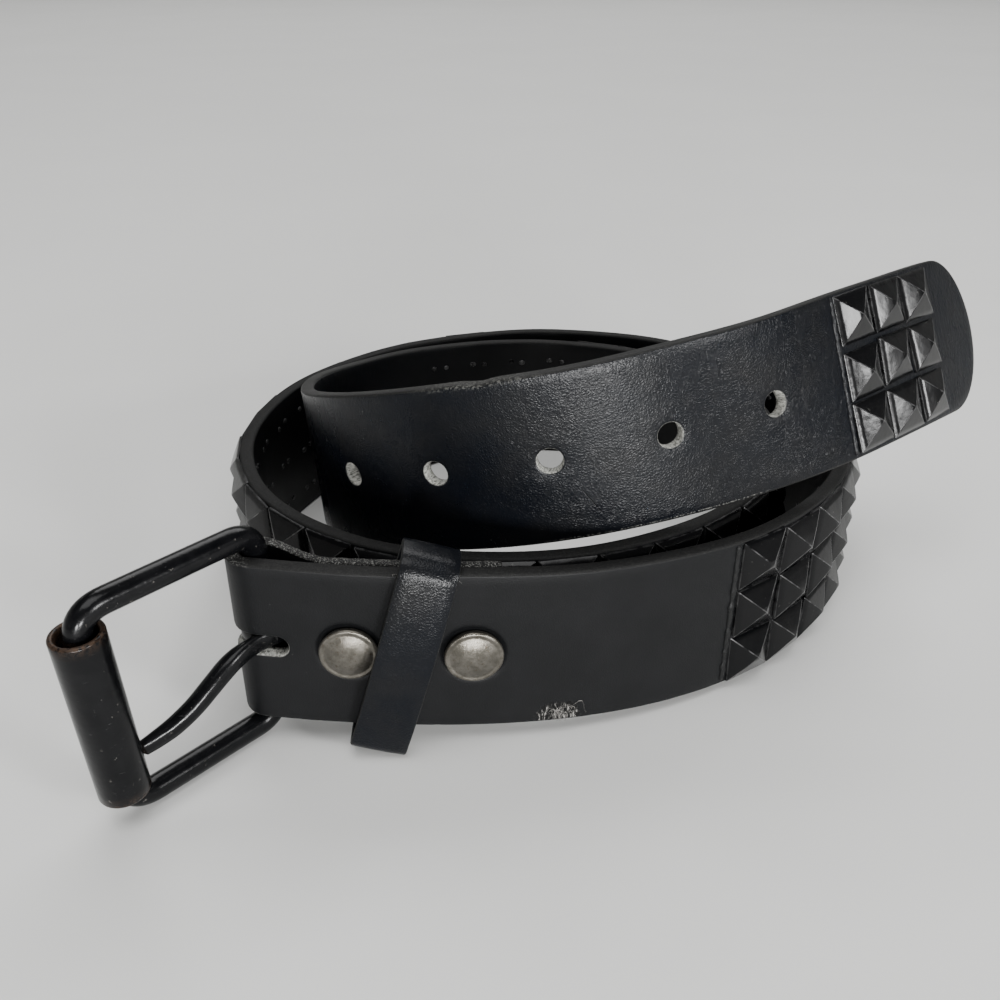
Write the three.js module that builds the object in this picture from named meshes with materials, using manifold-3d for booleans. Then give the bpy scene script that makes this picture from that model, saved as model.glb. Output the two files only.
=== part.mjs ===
import * as THREE from 'three';
import { mergeVertices } from 'three/addons/utils/BufferGeometryUtils.js';
import Module from 'manifold-3d';

// A studded leather belt that stands on its lower edge, coiled two turns, in millimetres.
// Its roller buckle hangs open at the front left and its punched tip crosses over the coil.

// Fits
const seatGap = 0.3;           // between a piece and what carries it
const runningGap = 0.35;       // between a turning piece and its bar
const floorGap = 0.15;         // under the buckle frame
const turnGap = 0.5;           // between one turn's layers and the next turn's studs
const cutMargin = 1;           // how far a cutter stands out past what it cuts

// Strap, measured from the heel bar to the tip
const strapLength = 1030;
const strapWidth = 38;
const strapThickness = 3.4;
const strapEdge = 0.7;         // bevel of the strap's long edges
const foldedLength = 50;       // leather turned back behind the heel bar
const foldedThickness = 2.4;
const foldSettle = 15;         // run in which the turned leather closes up behind the bar
const tipRounding = 15;        // length of the rounded end
const stationStep = 8;         // spacing of the cross-sections

// Punched holes
const holeCount = 5;
const holeDiameter = 5.6;
const holeSpacing = 25.4;
const holeToTipStuds = 21.5;   // last hole to the stud block

// Pyramid studs
const studRows = 3;
const studPitch = 13;          // along the strap
const studLength = 12.6;
const studRowPitch = 12.4;     // across the strap
const studWidth = 12;
const studHeight = 3.2;
const studBase = 0.5;          // plate under the pyramids
const fieldStart = 102;        // heel bar to the first column
const fieldColumns = 50;
const tipColumns = 3;
const tipStudWidth = 11.2;
const tipStudHeight = 2.5;
const tipStudMargin = 19;      // stud block to the end of the tip

// Snaps through the fold
const firstSnapAt = 18.6;
const snapSpacing = 24.9;
const capDiameter = 12.3;
const capRim = 0.8;
const capDome = 1.2;
const postDiameter = 4;

// Keeper loop
const keeperAt = 29.5;
const keeperWidth = 11.8;
const keeperThickness = 1.5;
const keeperTilt = 16;         // degrees
const keeperSlack = 2.9;       // how far its foot stands forward

// Buckle
const wireDiameter = 5.2;
const frameReach = 36.6;       // heel bar to far bar
const frameInside = 40.9;      // between the two side rods
const frameSwing = 232.5;      // degrees from the strap's direction to the frame
const farBarLean = 2.5;        // degrees
const heelBend = 5.4;
const farBend = 6.4;
const rollerDiameter = 10;
const rollerWall = 1.1;
const rollerLength = 38.6;
const tongueEyeWall = 2;
const tongueHeight = 4.2;
const tongueThickness = 4;
const tongueReach = 30.2;      // heel bar to the tongue's end
const tongueDrop = 12.2;       // how far its end hangs
const tongueSwing = -8.5;      // degrees from the frame to the tongue

// Route of the coil: a row for each twentieth of the strap.
// along is a share of the strap's length, heading and lean are in degrees,
// and rise is how far the strap climbs, as a share of its width.
const coilRoute = [
	{ along: 0.00, heading: -4.5, rise: 0, lean: 0 },
	{ along: 0.05, heading: 8, rise: 0, lean: 0 },
	{ along: 0.10, heading: 32, rise: 0, lean: 0 },
	{ along: 0.15, heading: 69, rise: 0, lean: 0 },
	{ along: 0.20, heading: 115, rise: 0, lean: 0 },
	{ along: 0.25, heading: 156, rise: 0, lean: 0 },
	{ along: 0.30, heading: 192.5, rise: 0, lean: 0 },
	{ along: 0.35, heading: 230, rise: 0, lean: 0 },
	{ along: 0.40, heading: 271, rise: 0, lean: 0 },
	{ along: 0.45, heading: 320, rise: 0, lean: 0 },
	{ along: 0.50, heading: 364.5, rise: 0, lean: 0 },
	{ along: 0.55, heading: 403, rise: 0, lean: 0 },
	{ along: 0.60, heading: 449.5, rise: 0, lean: 0 },
	{ along: 0.65, heading: 499.5, rise: 0, lean: 0 },
	{ along: 0.70, heading: 547.5, rise: 0, lean: 1 },
	{ along: 0.75, heading: 597, rise: 0.085, lean: 4 },
	{ along: 0.80, heading: 649.5, rise: 0.385, lean: 4 },
	{ along: 0.85, heading: 697.5, rise: 0.79, lean: -1 },
	{ along: 0.90, heading: 736, rise: 1.065, lean: -11 },
	{ along: 0.95, heading: 758, rise: 1.165, lean: -23 },
	{ along: 1.00, heading: 763.5, rise: 1.125, lean: -25 },
];
const buckleLiftRun = 0.21;    // share of the strap over which the buckle's lift fades out
const firstTurnEnd = 0.42;     // share at which the strap passes behind the buckle
const liftStart = 0.85;        // share at which it has climbed clear of the coil
const spreadRun = 30;          // run over which a turn is eased inward

// Sizes that follow
const radians = THREE.MathUtils.degToRad;
const halfStrap = strapThickness / 2;
const heelRadius = wireDiameter / 2;
const eyeRadius = heelRadius + runningGap;
const frameHeight = frameInside + wireDiameter;
const buckleLift = ( frameInside - strapWidth ) / 2 + wireDiameter + floorGap;
const foldedBack = halfStrap + seatGap + foldedThickness;
const studFoot = halfStrap + seatGap;
const studTop = studFoot + studHeight;
const tipBlockEnd = strapLength - tipStudMargin;
const tipBlockStart = tipBlockEnd - tipColumns * studPitch;
const lastHoleAt = tipBlockStart - holeToTipStuds;
const turnedTongueEye = eyeRadius + tongueEyeWall;
const slotHeight = tongueHeight + 2 * runningGap;
const slotRounding = slotHeight / 2 - Math.sqrt( ( slotHeight ** 2 - tongueHeight ** 2 ) / 4 );
const slotEnd = turnedTongueEye + runningGap + slotRounding;

const leather = { color: 0x17181b, roughness: 0.5, metalness: 0 };
const studPaint = { color: 0x1b1c1f, roughness: 0.35, metalness: 0.3 };
const nickel = { color: 0x8b877f, roughness: 0.35, metalness: 0.9 };
const blackEnamel = { color: 0x111216, roughness: 0.25, metalness: 0.4 };

const wasm = await Module();
wasm.setup();

// A mesh geometry as a solid, for cutting and joining.
function toSolid( geometry ) {

	const bare = geometry.clone();
	bare.deleteAttribute( 'normal' );
	bare.deleteAttribute( 'uv' );
	const merged = mergeVertices( bare, 1e-4 );
	return new wasm.Manifold( new wasm.Mesh( {
		numProp: 3,
		vertProperties: new Float32Array( merged.attributes.position.array ),
		triVerts: new Uint32Array( merged.index.array ),
	} ) );

}

function toGeometry( solid ) {

	const mesh = solid.getMesh();
	const geometry = new THREE.BufferGeometry();
	const points = new Float32Array( mesh.vertProperties );
	const faces = new Uint32Array( mesh.triVerts );
	geometry.setAttribute( 'position', new THREE.BufferAttribute( points, 3 ) );
	geometry.setIndex( new THREE.BufferAttribute( faces, 1 ) );
	geometry.computeVertexNormals();
	return geometry;

}

function makeMesh( name, geometry, finish ) {

	const mesh = new THREE.Mesh( geometry, new THREE.MeshStandardMaterial( finish ) );
	mesh.name = name;
	return mesh;

}

// One column of the route table at a share of the strap, by smooth cubic steps between its rows.
function routeValue( column, share ) {

	const last = coilRoute.length - 1;
	const next = Math.min( last, Math.max( 1, coilRoute.findIndex( ( row ) => row.along > share ) ) );
	const i = share >= 1 ? last - 1 : next - 1;
	const row = ( k ) => coilRoute[ Math.min( last, Math.max( 0, k ) ) ];
	const slope = ( k ) => {

		const before = row( k - 1 );
		const after = row( k + 1 );
		return ( after[ column ] - before[ column ] ) / ( after.along - before.along );

	};

	const h = row( i + 1 ).along - row( i ).along;
	const t = ( share - row( i ).along ) / h;
	const ease = t * t * ( 3 - 2 * t );
	return row( i )[ column ] * ( 1 - ease ) + row( i + 1 )[ column ] * ease
		+ h * t * ( 1 - t ) * ( ( 1 - t ) * slope( i ) - t * slope( i + 1 ) );

}

function smoothStep( from, to, value ) {

	const t = Math.min( 1, Math.max( 0, ( value - from ) / ( to - from ) ) );
	return t * t * ( 3 - 2 * t );

}

// How far the strap has climbed off the floor at a share of its length.
function routeRise( share ) {

	return strapWidth * Math.max( 0, routeValue( 'rise', Math.max( 0, share ) ) );

}

// The route walked in millimetre steps: plan position, height, heading and climb of the strap's middle.
const route = [];

function walkRoute() {

	const steps = Math.round( strapLength );
	const step = strapLength / steps;
	let x = 0;
	let y = 0;
	for ( let k = 0; k <= steps; k ++ ) {

		const share = k / steps;
		const rise = routeRise( share );
		const climb = Math.asin( ( rise - routeRise( share - 1 / steps ) ) / step );
		const heading = radians( routeValue( 'heading', share ) );
		const lean = radians( routeValue( 'lean', share ) );
		const lift = buckleLift * Math.max( 0, 1 - share / buckleLiftRun ) ** 2;
		route.push( { share, x, y, z: strapWidth / 2 + rise + lift, heading, lean, climb } );
		x += step * Math.cos( climb ) * Math.cos( heading );
		y += step * Math.cos( climb ) * Math.sin( heading );

	}

}

// How far the layers and the keeper reach inward of the strap's middle.
function inwardReach( at ) {

	if ( Math.abs( at - keeperAt ) < keeperWidth ) return foldedBack + seatGap + keeperThickness;
	return at < foldedLength ? foldedBack : halfStrap;

}

// The second turn is eased inward wherever the first turn's layers and its own studs need the room.
function spreadTurns() {

	const first = route.filter( ( p ) => p.share < firstTurnEnd );
	const missing = route.map( ( p ) => {

		if ( p.share < firstTurnEnd || p.share > liftStart ) return 0;
		const room = first.map( ( q ) => {

			const apart = Math.hypot( p.x - q.x, p.y - q.y );
			return apart - inwardReach( q.share * strapLength );

		} );
		return Math.max( 0, studTop + turnGap - Math.min( ...room ) );

	} );
	const span = Math.round( spreadRun / strapLength * route.length );
	const around = ( values, k ) => values.slice( Math.max( 0, k - span ), k + span + 1 );
	const needed = missing.map( ( _, k ) => Math.max( ...around( missing, k ) ) );
	route.forEach( ( p, k ) => {

		const near = around( needed, k );
		const ease = near.reduce( ( sum, value ) => sum + value, 0 ) / near.length;
		p.x -= ease * Math.sin( p.heading );
		p.y += ease * Math.cos( p.heading );

	} );

}

walkRoute();
spreadTurns();

// The strap's frame at a distance from the heel bar: its middle, the outward side and the way up its width.
function strapFrame( at ) {

	const place = Math.min( 1, Math.max( 0, at / strapLength ) ) * ( route.length - 1 );
	const i = Math.min( route.length - 2, Math.floor( place ) );
	const t = place - i;
	const mix = ( key ) => route[ i ][ key ] * ( 1 - t ) + route[ i + 1 ][ key ] * t;
	const heading = mix( 'heading' );
	const climb = mix( 'climb' );
	const lean = mix( 'lean' );
	const ahead = new THREE.Vector3( Math.cos( heading ), Math.sin( heading ), 0 );
	const beside = new THREE.Vector3( Math.sin( heading ), - Math.cos( heading ), 0 );
	const rising = ahead.multiplyScalar( - Math.sin( climb ) ).setZ( Math.cos( climb ) );
	return {
		middle: new THREE.Vector3( mix( 'x' ), mix( 'y' ), mix( 'z' ) ),
		out: beside.clone().multiplyScalar( Math.cos( lean ) ).addScaledVector( rising, - Math.sin( lean ) ),
		up: rising.clone().multiplyScalar( Math.cos( lean ) ).addScaledVector( beside, Math.sin( lean ) ),
		heading,
	};

}

// A point at a distance from the heel bar, across the strap's width, and outward from its middle.
function strapPoint( at, across, outward ) {

	const frame = strapFrame( at );
	return frame.middle.addScaledVector( frame.up, across ).addScaledVector( frame.out, outward );

}

// A section carried along stations, each with a middle, two axes and two scales.
// The section's X runs inward, its Y up, and the stations follow the strap's direction.
function carrySection( shape, stations ) {

	const steps = stations.length - 1;
	const geometry = new THREE.ExtrudeGeometry( shape, { depth: steps, steps, bevelEnabled: false } );
	const place = geometry.attributes.position;
	for ( let k = 0; k < place.count; k ++ ) {

		const station = stations[ Math.round( place.getZ( k ) ) ];
		const point = station.middle.clone()
			.addScaledVector( station.out, - place.getX( k ) * station.thick )
			.addScaledVector( station.up, place.getY( k ) * station.wide );
		place.setXYZ( k, point.x, point.y, point.z );

	}

	return geometry;

}

// The strap's section, one unit thick and one unit wide, with bevelled edges.
function strapSection() {

	const x = 0.5;
	const y = 0.5;
	const bevelX = strapEdge / strapThickness;
	const bevelY = strapEdge / strapWidth;
	return new THREE.Shape( [
		new THREE.Vector2( x, - y + bevelY ),
		new THREE.Vector2( x, y - bevelY ),
		new THREE.Vector2( x - bevelX, y ),
		new THREE.Vector2( bevelX - x, y ),
		new THREE.Vector2( - x, y - bevelY ),
		new THREE.Vector2( - x, bevelY - y ),
		new THREE.Vector2( bevelX - x, - y ),
		new THREE.Vector2( x - bevelX, - y ),
	] );

}

// Centre of the heel bar: behind the strap's front run, inside the fold.
function heelCentre() {

	const frame = strapFrame( 0 );
	return frame.middle.addScaledVector( frame.out, - eyeRadius - halfStrap );

}

// Stations of the turned-back leather, from its cut end to the heel bar, then round the bar to the front.
function foldStations() {

	const stations = [];
	const settledBack = halfStrap + seatGap + foldedThickness / 2;
	const barBack = halfStrap + 2 * eyeRadius + foldedThickness / 2;
	const steps = Math.ceil( foldedLength / ( stationStep / 2 ) );
	for ( let k = 0; k < steps; k ++ ) {

		const at = foldedLength * ( 1 - k / steps );
		const frame = strapFrame( at );
		const back = barBack + ( settledBack - barBack ) * smoothStep( 0, foldSettle, at );
		stations.push( {
			middle: frame.middle.addScaledVector( frame.out, - back ),
			out: frame.out.clone().negate(),
			up: frame.up,
			thick: foldedThickness,
			wide: strapWidth,
		} );

	}

	const centre = heelCentre();
	const frame = strapFrame( 0 );
	const ahead = new THREE.Vector3( Math.cos( frame.heading ), Math.sin( frame.heading ), 0 );
	const bends = 12;
	for ( let k = 0; k < bends; k ++ ) {

		const turn = Math.PI * k / bends;
		const thick = foldedThickness + ( strapThickness - foldedThickness ) * k / bends;
		const out = frame.out.clone().multiplyScalar( - Math.cos( turn ) );
		out.addScaledVector( ahead, - Math.sin( turn ) );
		stations.push( {
			middle: centre.clone().addScaledVector( out, eyeRadius + thick / 2 ),
			out,
			up: frame.up,
			thick,
			wide: strapWidth,
		} );

	}

	return stations;

}

// Stations from the heel bar to the tip, closer together where the end is rounded.
function runStations() {

	const places = [];
	const runSteps = Math.ceil( ( strapLength - tipRounding ) / stationStep );
	for ( let k = 0; k <= runSteps; k ++ ) {

		places.push( ( strapLength - tipRounding ) * k / runSteps );

	}

	const roundSteps = 8;
	for ( let k = 1; k <= roundSteps; k ++ ) {

		places.push( strapLength - tipRounding * ( 1 - Math.sin( radians( 88 * k / roundSteps ) ) ) );

	}

	return places.map( ( at ) => {

		const frame = strapFrame( at );
		const rounded = Math.max( 0, at - strapLength + tipRounding ) / tipRounding;
		return {
			middle: frame.middle,
			out: frame.out,
			up: frame.up,
			thick: strapThickness,
			wide: strapWidth * Math.sqrt( 1 - rounded * rounded ),
		};

	} );

}

// A round cutter through the strap, square to its face.
function holeCutter( at, diameter, inward ) {

	const frame = strapFrame( at );
	const depth = strapThickness + inward + 2 * cutMargin;
	const cutter = new THREE.CylinderGeometry( diameter / 2, diameter / 2, depth, 14 );
	const turn = new THREE.Quaternion().setFromUnitVectors( new THREE.Vector3( 0, 1, 0 ), frame.out );
	cutter.applyQuaternion( turn );
	const middle = frame.middle.addScaledVector( frame.out, halfStrap + cutMargin - depth / 2 );
	cutter.translate( middle.x, middle.y, middle.z );
	return toSolid( cutter );

}

// The slot for the tongue: from outside the fold to its rounded end, through both layers.
function slotCutter() {

	const centre = heelCentre();
	const frame = strapFrame( 0 );
	const outline = new THREE.Shape();
	const behind = eyeRadius + foldedThickness + seatGap;
	const before = eyeRadius + strapThickness + seatGap;
	const half = slotHeight / 2;
	outline.moveTo( - before, - half );
	outline.lineTo( slotEnd - half, - half );
	outline.absarc( slotEnd - half, 0, half, - Math.PI / 2, Math.PI / 2, false );
	outline.lineTo( - before, half );
	const cutter = new THREE.ExtrudeGeometry( outline, {
		depth: behind + before,
		bevelEnabled: false,
		curveSegments: 8,
	} );
	cutter.translate( 0, 0, - behind );
	cutter.rotateX( Math.PI / 2 );
	cutter.rotateZ( frame.heading );
	cutter.translate( centre.x, centre.y, frame.middle.z );
	return toSolid( cutter );

}

function makeStrap() {

	let solid = toSolid( carrySection( strapSection(), [ ...foldStations(), ...runStations() ] ) );
	for ( let k = 0; k < holeCount; k ++ ) {

		solid = solid.subtract( holeCutter( lastHoleAt - k * holeSpacing, holeDiameter, 0 ) );

	}

	for ( const at of snapPlaces() ) {

		solid = solid.subtract( holeCutter( at, postDiameter + 2 * seatGap, foldedBack ) );

	}

	return makeMesh( 'strap', toGeometry( solid.subtract( slotCutter() ) ), leather );

}

function snapPlaces() {

	return [ firstSnapAt, firstSnapAt + snapSpacing ];

}

// A field of pyramid studs on one thin plate, following the strap.
// Each column and row has an edge, an apex and an edge, with a valley to the next stud.
function makeStudField( name, start, columns, width, height ) {

	const along = [];
	for ( let c = 0; c < columns; c ++ ) {

		const middle = start + ( c + 0.5 ) * studPitch;
		along.push( middle - studLength / 2, middle, middle + studLength / 2 );

	}

	const across = [];
	for ( let r = 0; r < studRows; r ++ ) {

		const middle = ( r - ( studRows - 1 ) / 2 ) * studRowPitch;
		across.push( middle - width / 2, middle, middle + width / 2 );

	}

	const points = [];
	const index = [];
	for ( let i = 0; i < along.length; i ++ ) {

		for ( let j = 0; j < across.length; j ++ ) {

			const apex = i % 3 === 1 && j % 3 === 1;
			points.push( strapPoint( along[ i ], across[ j ], studFoot + ( apex ? height : studBase ) ) );

		}

	}

	const foot = points.length;
	for ( const at of along ) {

		points.push( strapPoint( at, across[ 0 ], studFoot ) );
		points.push( strapPoint( at, across[ across.length - 1 ], studFoot ) );

	}

	const top = ( i, j ) => i * across.length + j;
	const under = ( i, j ) => foot + 2 * i + j;
	const lastRow = across.length - 1;
	const lastColumn = along.length - 1;
	const quad = ( a, b, c, d ) => index.push( a, b, c, a, c, d );
	for ( let i = 0; i < lastColumn; i ++ ) {

		for ( let j = 0; j < lastRow; j ++ ) {

			// The diagonal of a pyramid's corner runs from the corner to the apex.
			const rising = ( i % 3 === 1 ) === ( j % 3 === 1 );
			if ( rising ) quad( top( i, j ), top( i + 1, j ), top( i + 1, j + 1 ), top( i, j + 1 ) );
			else quad( top( i + 1, j ), top( i + 1, j + 1 ), top( i, j + 1 ), top( i, j ) );

		}

		quad( under( i, 0 ), under( i, 1 ), under( i + 1, 1 ), under( i + 1, 0 ) );
		quad( under( i, 0 ), under( i + 1, 0 ), top( i + 1, 0 ), top( i, 0 ) );
		quad( under( i + 1, 1 ), under( i, 1 ), top( i, lastRow ), top( i + 1, lastRow ) );

	}

	for ( const [ i, turned ] of [ [ 0, false ], [ lastColumn, true ] ] ) {

		for ( let j = 0; j < lastRow; j ++ ) {

			const face = [ under( i, 0 ), top( i, j ), top( i, j + 1 ) ];
			index.push( ...( turned ? face.reverse() : face ) );

		}

		const face = [ under( i, 0 ), top( i, lastRow ), under( i, 1 ) ];
		index.push( ...( turned ? face.reverse() : face ) );

	}

	const geometry = new THREE.BufferGeometry().setFromPoints( points );
	geometry.setIndex( index );
	return makeMesh( name, toGeometry( toSolid( geometry ) ), studPaint );

}

// A domed cap with its plain post, turned about the post's axis.
function makeSnapCap( name, at ) {

	const radius = capDiameter / 2;
	const post = postDiameter / 2;
	const postEnd = - studFoot - foldedBack;
	const profile = [
		new THREE.Vector2( 0, postEnd ),
		new THREE.Vector2( post, postEnd ),
		new THREE.Vector2( post, 0 ),
		new THREE.Vector2( radius - 0.3, 0 ),
		new THREE.Vector2( radius, 0.3 ),
		new THREE.Vector2( radius - 0.15, capRim ),
		new THREE.Vector2( radius * 0.75, capRim + capDome * 0.55 ),
		new THREE.Vector2( radius * 0.4, capRim + capDome * 0.9 ),
		new THREE.Vector2( 0, capRim + capDome ),
	];
	const mesh = makeMesh( name, new THREE.LatheGeometry( profile, 24 ), nickel );
	const frame = strapFrame( at );
	mesh.quaternion.setFromUnitVectors( new THREE.Vector3( 0, 1, 0 ), frame.out );
	mesh.position.copy( frame.middle.addScaledVector( frame.out, studFoot ) );
	return mesh;

}

// The keeper: a closed leather loop, tilted across the strap, its foot standing forward.
function makeKeeper() {

	const tilt = radians( keeperTilt );
	const height = strapWidth / Math.cos( tilt ) + keeperWidth * Math.tan( tilt ) + 2 * seatGap;
	const back = - foldedBack - seatGap;
	const front = halfStrap + seatGap;
	const foot = front + keeperSlack;
	const wall = keeperThickness;
	const inner = [
		[ back, - height / 2 ],
		[ foot, - height / 2 ],
		[ front, height / 2 ],
		[ back, height / 2 ],
	];
	const outer = [
		[ back - wall, - height / 2 - wall ],
		[ foot + wall, - height / 2 - wall ],
		[ front + wall, height / 2 + wall ],
		[ back - wall, height / 2 + wall ],
	];
	const shape = roundedOutline( outer, wall, THREE.Shape );
	shape.holes.push( roundedOutline( inner, wall / 3, THREE.Path ) );
	const geometry = new THREE.ExtrudeGeometry( shape, {
		depth: keeperWidth,
		bevelEnabled: false,
		curveSegments: 3,
	} );
	geometry.translate( 0, 0, - keeperWidth / 2 );
	const frame = strapFrame( keeperAt );
	const ahead = new THREE.Vector3( Math.cos( frame.heading ), Math.sin( frame.heading ), 0 );
	const rise = new THREE.Vector3( 0, 0, Math.cos( tilt ) ).addScaledVector( ahead, Math.sin( tilt ) );
	const sideways = new THREE.Vector3().crossVectors( frame.out, rise );
	geometry.applyMatrix4( new THREE.Matrix4().makeBasis( frame.out, rise, sideways ) );
	const mesh = makeMesh( 'keeper_loop', geometry, leather );
	mesh.position.copy( frame.middle );
	return mesh;

}

// A polygon with each corner rounded by a quadratic curve that starts a radius away from it.
function roundedOutline( corners, radius, Kind ) {

	const outline = new Kind();
	corners.forEach( ( corner, k ) => {

		const here = new THREE.Vector2( ...corner );
		const toward = ( j ) => {

			const other = new THREE.Vector2( ...corners[ ( j + corners.length ) % corners.length ] );
			return here.clone().add( other.sub( here ).setLength( radius ) );

		};

		const a = toward( k - 1 );
		const b = toward( k + 1 );
		if ( k === 0 ) outline.moveTo( a.x, a.y );
		else outline.lineTo( a.x, a.y );
		outline.quadraticCurveTo( here.x, here.y, b.x, b.y );

	} );
	outline.closePath();
	return outline;

}

// The buckle's far bar leans in the frame's plane; its middle is frameReach from the heel bar.
function farBarReach( height ) {

	return frameReach + height * Math.tan( radians( farBarLean ) );

}

// The frame: round wire bent to a closed loop, heel bar at the origin, reaching along X.
function makeFrame() {

	const half = frameHeight / 2;
	const corners = [
		[ 0, - half, heelBend ],
		[ farBarReach( - half ), - half, farBend ],
		[ farBarReach( half ), half, farBend ],
		[ 0, half, heelBend ],
	].map( ( [ x, z, bend ] ) => ( { place: new THREE.Vector3( x, 0, z ), bend } ) );
	const loop = new THREE.CurvePath();
	const near = ( k, j ) => {

		const from = corners[ k ];
		const to = corners[ ( j + 4 ) % 4 ].place.clone().sub( from.place ).setLength( from.bend );
		return from.place.clone().add( to );

	};

	for ( let k = 0; k < 4; k ++ ) {

		loop.add( new THREE.QuadraticBezierCurve3( near( k, k - 1 ), corners[ k ].place, near( k, k + 1 ) ) );
		loop.add( new THREE.LineCurve3( near( k, k + 1 ), near( ( k + 1 ) % 4, k ) ) );

	}

	const geometry = new THREE.TubeGeometry( loop, 72, wireDiameter / 2, 10, true );
	return makeMesh( 'buckle_frame', toGeometry( toSolid( geometry ) ), blackEnamel );

}

// The roller: an open tube on the far bar.
function makeRoller() {

	const radius = rollerDiameter / 2;
	const bore = radius - rollerWall;
	const half = rollerLength / 2;
	const edge = rollerWall / 3;
	const profile = [
		new THREE.Vector2( bore, - half ),
		new THREE.Vector2( radius - edge, - half ),
		new THREE.Vector2( radius, edge - half ),
		new THREE.Vector2( radius, half - edge ),
		new THREE.Vector2( radius - edge, half ),
		new THREE.Vector2( bore, half ),
		new THREE.Vector2( bore, - half ),
	];
	const geometry = new THREE.LatheGeometry( profile, 20 );
	geometry.rotateX( Math.PI / 2 );
	const mesh = makeMesh( 'roller', geometry, blackEnamel );
	mesh.position.x = frameReach;
	mesh.rotation.y = radians( farBarLean );
	return mesh;

}

// The tongue: an eye round the heel bar and a shank that bends down and in to the roller.
// Each row gives a share of the reach, the offset in front of the bar, the drop and the shank's thickness.
function makeTongue() {

	const half = tongueHeight / 2;
	const eye = new THREE.LatheGeometry( [
		new THREE.Vector2( eyeRadius, - half ),
		new THREE.Vector2( turnedTongueEye, - half ),
		new THREE.Vector2( turnedTongueEye, half ),
		new THREE.Vector2( eyeRadius, half ),
		new THREE.Vector2( eyeRadius, - half ),
	], 24 );
	eye.rotateX( Math.PI / 2 );
	const rootOffset = eyeRadius + tongueEyeWall * 0.58;
	const bends = [
		{ reach: 0, offset: 0, drop: 0, thick: 0.55, tall: 0.96 },
		{ reach: 0.12, offset: 0.1, drop: 0, thick: 0.55, tall: 1 },
		{ reach: 0.24, offset: 0.4, drop: 0.03, thick: 0.8, tall: 1 },
		{ reach: 0.36, offset: 0.8, drop: 0.13, thick: 1, tall: 1 },
		{ reach: 0.5, offset: 1.2, drop: 0.35, thick: 1, tall: 0.97 },
		{ reach: 0.64, offset: 1.3, drop: 0.6, thick: 0.98, tall: 0.95 },
		{ reach: 0.78, offset: 1.1, drop: 0.8, thick: 0.9, tall: 0.95 },
		{ reach: 0.9, offset: 0.8, drop: 0.92, thick: 0.75, tall: 0.92 },
		{ reach: 1, offset: 0.5, drop: 1, thick: 0.6, tall: 0.85 },
	];
	const places = bends.map( ( row ) => new THREE.Vector3(
		row.reach * tongueReach,
		rootOffset + row.offset * tongueThickness / 4,
		- row.drop * tongueDrop,
	) );
	const stations = bends.map( ( row, k ) => {

		const next = places[ Math.min( k + 1, places.length - 1 ) ];
		const ahead = next.clone().sub( places[ Math.max( k - 1, 0 ) ] ).normalize();
		const out = new THREE.Vector3( 0, 1, 0 ).addScaledVector( ahead, - ahead.y ).normalize();
		const up = new THREE.Vector3().crossVectors( ahead, out );
		return { middle: places[ k ], out, up, thick: row.thick * tongueThickness / 2, wide: row.tall * half };

	} );
	const round = new THREE.Shape();
	round.absarc( 0, 0, 1, 0, 2 * Math.PI, false );
	const section = new THREE.Shape( round.getPoints( 5 ).slice( 0, - 1 ) );
	const shank = toSolid( carrySection( section, stations.reverse() ) );
	const mesh = makeMesh( 'tongue', toGeometry( toSolid( eye ).add( shank ) ), blackEnamel );
	mesh.rotation.z = radians( tongueSwing );
	return mesh;

}

// The buckle's pieces share the heel bar's axis and the frame's swing.
function makeBuckle() {

	const buckle = new THREE.Group();
	buckle.position.copy( heelCentre() );
	buckle.rotation.z = strapFrame( 0 ).heading + radians( frameSwing );
	buckle.add( makeFrame(), makeRoller(), makeTongue() );
	return buckle;

}

// The belt stands on its lowest edge, with the middle of its outline over the origin.
function standOnOrigin( group ) {

	group.updateMatrixWorld( true );
	const box = new THREE.Box3().setFromObject( group, true );
	group.position.set( - ( box.min.x + box.max.x ) / 2, - ( box.min.y + box.max.y ) / 2, - box.min.z );
	group.updateMatrixWorld( true );
	return group;

}

const belt = new THREE.Group();
const half = Math.floor( fieldColumns / 2 );
const innerStart = fieldStart + half * studPitch + seatGap;
belt.add(
	makeStrap(),
	makeStudField( 'stud_field_outer', fieldStart, half, studWidth, studHeight ),
	makeStudField( 'stud_field_inner', innerStart, fieldColumns - half, studWidth, studHeight ),
	makeStudField( 'tip_studs', tipBlockStart, tipColumns, tipStudWidth, tipStudHeight ),
	...snapPlaces().map( ( at, k ) => makeSnapCap( `snap_cap_${ k + 1 }`, at ) ),
	makeKeeper(),
	makeBuckle(),
);

export default standOnOrigin( belt );
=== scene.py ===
import bpy
import numpy as np
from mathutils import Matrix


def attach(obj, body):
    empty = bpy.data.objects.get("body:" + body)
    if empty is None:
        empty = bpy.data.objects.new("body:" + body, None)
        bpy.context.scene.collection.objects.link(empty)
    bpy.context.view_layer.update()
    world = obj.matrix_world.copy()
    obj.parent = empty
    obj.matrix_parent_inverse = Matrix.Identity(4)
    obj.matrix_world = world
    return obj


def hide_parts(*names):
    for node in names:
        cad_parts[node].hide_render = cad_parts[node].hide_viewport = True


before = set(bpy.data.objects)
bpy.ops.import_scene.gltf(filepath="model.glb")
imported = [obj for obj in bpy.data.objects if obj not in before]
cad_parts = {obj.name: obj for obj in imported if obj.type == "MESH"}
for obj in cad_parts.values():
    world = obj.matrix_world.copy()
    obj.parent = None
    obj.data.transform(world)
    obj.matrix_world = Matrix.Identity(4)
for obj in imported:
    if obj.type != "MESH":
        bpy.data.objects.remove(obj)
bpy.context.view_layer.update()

# Sizes in millimetres, as the solids have them; MM turns them into metres.
MM = 0.001
STRAP_LENGTH = 1030
STRAP_WIDTH = 38
STRAP_THICKNESS = 3.4
FOLDED_LENGTH = 50
FOLDED_THICKNESS = 2.4
FOLD_SETTLE = 15
EDGE_ROUNDING = 0.65
TIP_ROUNDING = 15
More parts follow.
